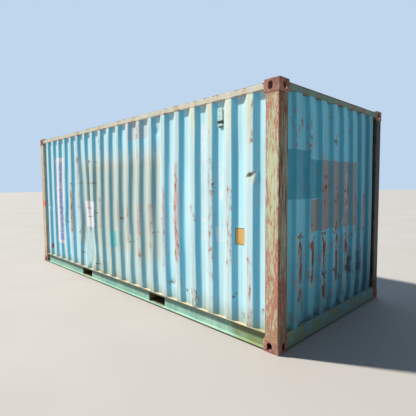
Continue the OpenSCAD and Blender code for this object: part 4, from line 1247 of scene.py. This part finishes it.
class CONTAINER_OT_rails(bpy.types.Operator):
    """Finish the rails, headers and sills"""

    bl_idname = "container.rails"
    bl_label = "Rails and Sills"

    def execute(self, context):
        tint = paints()
        dress("bottom_side_rail", bottom_rail_paint())
        dress("top_side_rail", painted("top_rail_paint", tint.rail, tint.rail_faded, 0.30,
                                       "top_side_rail_left", runs=0.4))
        dress("front_header", painted("front_header_paint", tint.header, tint.sill, 0.40,
                                      "front_header", 0.016, runs=0.4))
        dress("front_sill", painted("front_sill_paint", tint.door, tint.grime, 0.36,
                                    "front_sill", runs=0.4, grime=0.6))
        for name in ("door_header", "door_sill"):
            dress(name, painted(f"{name}_paint", tint.rear, tint.rear_faded, 0.28, name, runs=0.4))
        return {"FINISHED"}


class CONTAINER_OT_roof(bpy.types.Operator):
    """Finish the roof sheet and the plates over the headers"""

    bl_idname = "container.roof"
    bl_label = "Roof"

    def execute(self, context):
        tint = paints()
        dress("roof_panel", painted("roof_paint", tint.roof, tint.roof_faded, 0.30))
        dress("roof_header_plates", painted("roof_plate_paint", tint.roof, tint.rail_faded, 0.4,
                                            "roof_header_plates", 0.05, runs=0.4))
        return {"FINISHED"}


class CONTAINER_OT_doors(bpy.types.Operator):
    """Finish the doors, their seals and their locking gear"""

    bl_idname = "container.doors"
    bl_label = "Doors"

    def execute(self, context):
        tint = paints()
        dress(("door_right", "door_left"),
              painted("door_paint", tint.door, tint.door_faded, 0.22, runs=0.45))
        dress("door_seals", rubber_finish())
        dress(("lock_", "door_handles", "handle_"), galvanised_finish("gear_zinc", 0.42))
        dress("door_hinges", galvanised_finish("hinge_zinc", 0.6))
        return {"FINISHED"}


class CONTAINER_OT_floor_frame(bpy.types.Operator):
    """Finish the floor boards, the cross members and the fork pockets"""

    bl_idname = "container.floor_frame"
    bl_label = "Floor Frame"

    def execute(self, context):
        tint = paints()
        dress("floor_boards", plywood_finish())
        dress(("cross_members", "fork_pocket"),
              painted("underframe_paint", tint.underside, tint.underside_worn, 0.5))
        return {"FINISHED"}


class CONTAINER_OT_ventilators(bpy.types.Operator):
    """Finish the ventilators"""

    bl_idname = "container.ventilators"
    bl_label = "Ventilators"

    def execute(self, context):
        dress("ventilators", vent_finish())
        return {"FINISHED"}


class CONTAINER_OT_weld_beads(bpy.types.Operator):
    """Lay the weld beads between the sheets, the rails, the posts and the castings"""

    bl_idname = "container.weld_beads"
    bl_label = "Weld Beads"

    def execute(self, context):
        tint = paints()
        joined("side_weld_beads", self.side_beads(),
               painted("side_weld_paint", tint.rail, tint.rear, 0.5))
        joined("front_weld_beads", wave_beads("front_wall", front_wave(), 90, front_place),
               painted("front_weld_paint", tint.front, tint.grime, 0.5))
        joined("post_weld_beads", self.post_beads(),
               painted("post_weld_paint", tint.rust_light, tint.rear, 0.6))
        return {"FINISHED"}

    def side_beads(self):
        """Beads along the feet and heads of the side walls, and up their ends."""
        low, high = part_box("side_wall_left")
        parts = []
        for side in SIDES.values():
            place = side_place(side)
            parts += wave_beads("side_wall_left", side_wave(), len(parts), place)
            for s in (high.x - low.x, 0.0):
                foot = place(s, float(rounded_depth(np.array(s), side_wave())))
                parts.append(bead(straight((*foot, low.z), (*foot, high.z)), BEAD, len(parts)))
        return parts

    def post_beads(self):
        """A bead along each step between a casting and its post, round the corner."""
        low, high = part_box(POST)
        parts = []
        for end in (-1, 1):
            for side in SIDES.values():
                for z in (low.z, high.z):
                    corner = (end * high.x, side * high.y, z)
                    along = straight((end * low.x, side * high.y, z), corner)
                    across = straight(corner, (end * high.x, side * low.y, z))
                    path = np.concatenate([along, across[1:]]) if end > 0 else along
                    parts.append(bead(path, BEAD * 0.8, len(parts)))
        return parts


# Thickness of what the bolts hold, and radius and rise of their heads
PAD_THICKNESS, PAD_BOLT = 0.006, (0.008, 0.006)
LEAF_THICKNESS, LEAF_BOLT = 0.008, (0.007, 0.005)
PAD_BOLT_INSET = 0.011
LEAF_BOLT_INSETS = (0.014, 0.045)
LEAF_BOLT_RISE = 0.017
RUN_GAP = 0.1


class CONTAINER_OT_fasteners(bpy.types.Operator):
    """Set the bolts of the door gear"""

    bl_idname = "container.fasteners"
    bl_label = "Fasteners"

    def execute(self, context):
        parts = []
        outwards = (-1, 0, 0)
        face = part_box("door_left")[0].x
        for y0, y1 in runs_along("lock_rod_brackets", 1, RUN_GAP):
            for z0, z1 in runs_along("lock_rod_brackets", 2, RUN_GAP):
                for y in (y0 + PAD_BOLT_INSET, y1 - PAD_BOLT_INSET):
                    parts.append(dome((face - PAD_THICKNESS, y, (z0 + z1) / 2), outwards, *PAD_BOLT))
        for name, side in SIDES.items():
            hinges = f"door_hinges_{name}"
            inner = min(abs(corner.y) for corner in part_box(hinges))
            for z0, z1 in runs_along(hinges, 2, RUN_GAP):
                for z in ((z0 + z1) / 2 - LEAF_BOLT_RISE, (z0 + z1) / 2 + LEAF_BOLT_RISE):
                    for inset in LEAF_BOLT_INSETS:
                        place = (face - LEAF_THICKNESS, side * (inner + inset), z)
                        parts.append(dome(place, outwards, *LEAF_BOLT))
        joined("gear_bolts", parts, galvanised_finish("bolt_zinc", 0.5))
        return {"FINISHED"}


FLOOR_SIDES, FLOOR_RINGS = 96, 12
BEHIND = (-0.72, 0.69, 0.0)


class CONTAINER_OT_stage(bpy.types.Operator):
    """Make the plain floor, the soft lights and the camera"""

    bl_idname = "container.stage"
    bl_label = "Stage"

    def execute(self, context):
        stage = context.scene.container_stage
        self.floor(stage)
        self.lights(context, stage)
        self.camera(context, stage)
        return {"FINISHED"}

    def floor(self, stage):
        """A level disc of rings that widen outwards."""
        turn = 2 * np.pi * np.arange(FLOOR_SIDES) / FLOOR_SIDES
        radius = stage.floor_radius * np.linspace(0.02, 1, FLOOR_RINGS)[:, None] ** 2
        level = np.zeros((FLOOR_RINGS, FLOOR_SIDES))
        rings = np.stack([radius * np.cos(turn), radius * np.sin(turn), level], axis=-1)
        faces = grid_faces(FLOOR_RINGS, FLOOR_SIDES, flip=True, close=True)
        faces.append([*range(FLOOR_SIDES)])
        n, point = open_material("floor_finish")
        cloud = n.noise(point, (0.6, 0.6, 0.6), 3.0, 0.5)
        base = n.mix(n.step(cloud, 0.3, 0.7, 0.0, 0.10), stage.floor, stage.floor_cloud)
        finish = close_material(n, base, n.step(cloud, 0.3, 0.7, 0.78, 0.88))
        new_object("floor", rings, faces, finish)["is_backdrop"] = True

    def lights(self, context, stage):
        """A key light from one side, and soft light all round that is brighter behind the container."""
        lamp = bpy.data.lights.new("key", "SUN")
        lamp.energy = stage.key
        lamp.color = stage.key_colour
        lamp.angle = stage.key_softness
        key = bpy.data.objects.new("key", lamp)
        key.rotation_euler = (0, math.pi / 2 - stage.key_height, stage.key_turn)
        context.scene.collection.objects.link(key)
        world = bpy.data.worlds.new("fill")
        world.use_nodes = True
        background = world.node_tree.nodes["Background"]
        background.inputs["Color"].default_value = (*stage.fill_colour, 1)
        n = Nodes(world.node_tree)
        direction = n.value("ShaderNodeTexCoord", output="Generated")
        behind = n.value("ShaderNodeVectorMath", [direction, BEHIND], "Value", operation="DOT_PRODUCT")
        n.feed(background.inputs["Strength"], n.step(behind, -0.1, 0.8, stage.fill, stage.backdrop))
        context.scene.world = world
        context.scene.view_settings.view_transform = "Standard"

    def camera(self, context, stage):
        """The camera at the photograph's place and angle."""
        data = bpy.data.cameras.new("camera")
        data.lens = stage.lens
        camera = bpy.data.objects.new("camera", data)
        camera.location = stage.camera_place
        camera.rotation_euler = stage.camera_turn
        context.scene.collection.objects.link(camera)
        context.scene.camera = camera


OPERATORS = [
    CONTAINER_OT_side_walls,
    CONTAINER_OT_front_wall,
    CONTAINER_OT_corner_frame,
    CONTAINER_OT_rails,
    CONTAINER_OT_roof,
    CONTAINER_OT_doors,
    CONTAINER_OT_floor_frame,
    CONTAINER_OT_ventilators,
    CONTAINER_OT_weld_beads,
    CONTAINER_OT_fasteners,
    CONTAINER_OT_stage,
]
SETTINGS = {
    "container_sheets": ContainerSheetSettings,
    "container_paints": ContainerPaintSettings,
    "container_stage": ContainerStageSettings,
}


class CONTAINER_PT_finish(bpy.types.Panel):
    """The container's steps and settings"""

    bl_label = "Freight Container"
    bl_space_type = "VIEW_3D"
    bl_region_type = "UI"
    bl_category = "Container"

    def draw(self, context):
        layout = self.layout
        for operator in OPERATORS:
            layout.operator(operator.bl_idname)
        for name in SETTINGS:
            settings = getattr(context.scene, name)
            box = layout.box()
            for field in settings.__annotations__:
                box.prop(settings, field)


CLASSES = [*SETTINGS.values(), *OPERATORS, CONTAINER_PT_finish]


def register():
    """Registers the classes and puts the settings on the scene."""
    for cls in CLASSES:
        bpy.utils.register_class(cls)
    for name, cls in SETTINGS.items():
        setattr(bpy.types.Scene, name, PointerProperty(type=cls))


def unregister():
    """Takes the settings and the classes away again."""
    for name in SETTINGS:
        delattr(bpy.types.Scene, name)
    for cls in reversed(CLASSES):
        bpy.utils.unregister_class(cls)


def main():
    """Runs every step in order."""
    register()
    for operator in OPERATORS:
        category, name = operator.bl_idname.split(".")
        getattr(getattr(bpy.ops, category), name)()


if __name__ == "__main__":
    main()
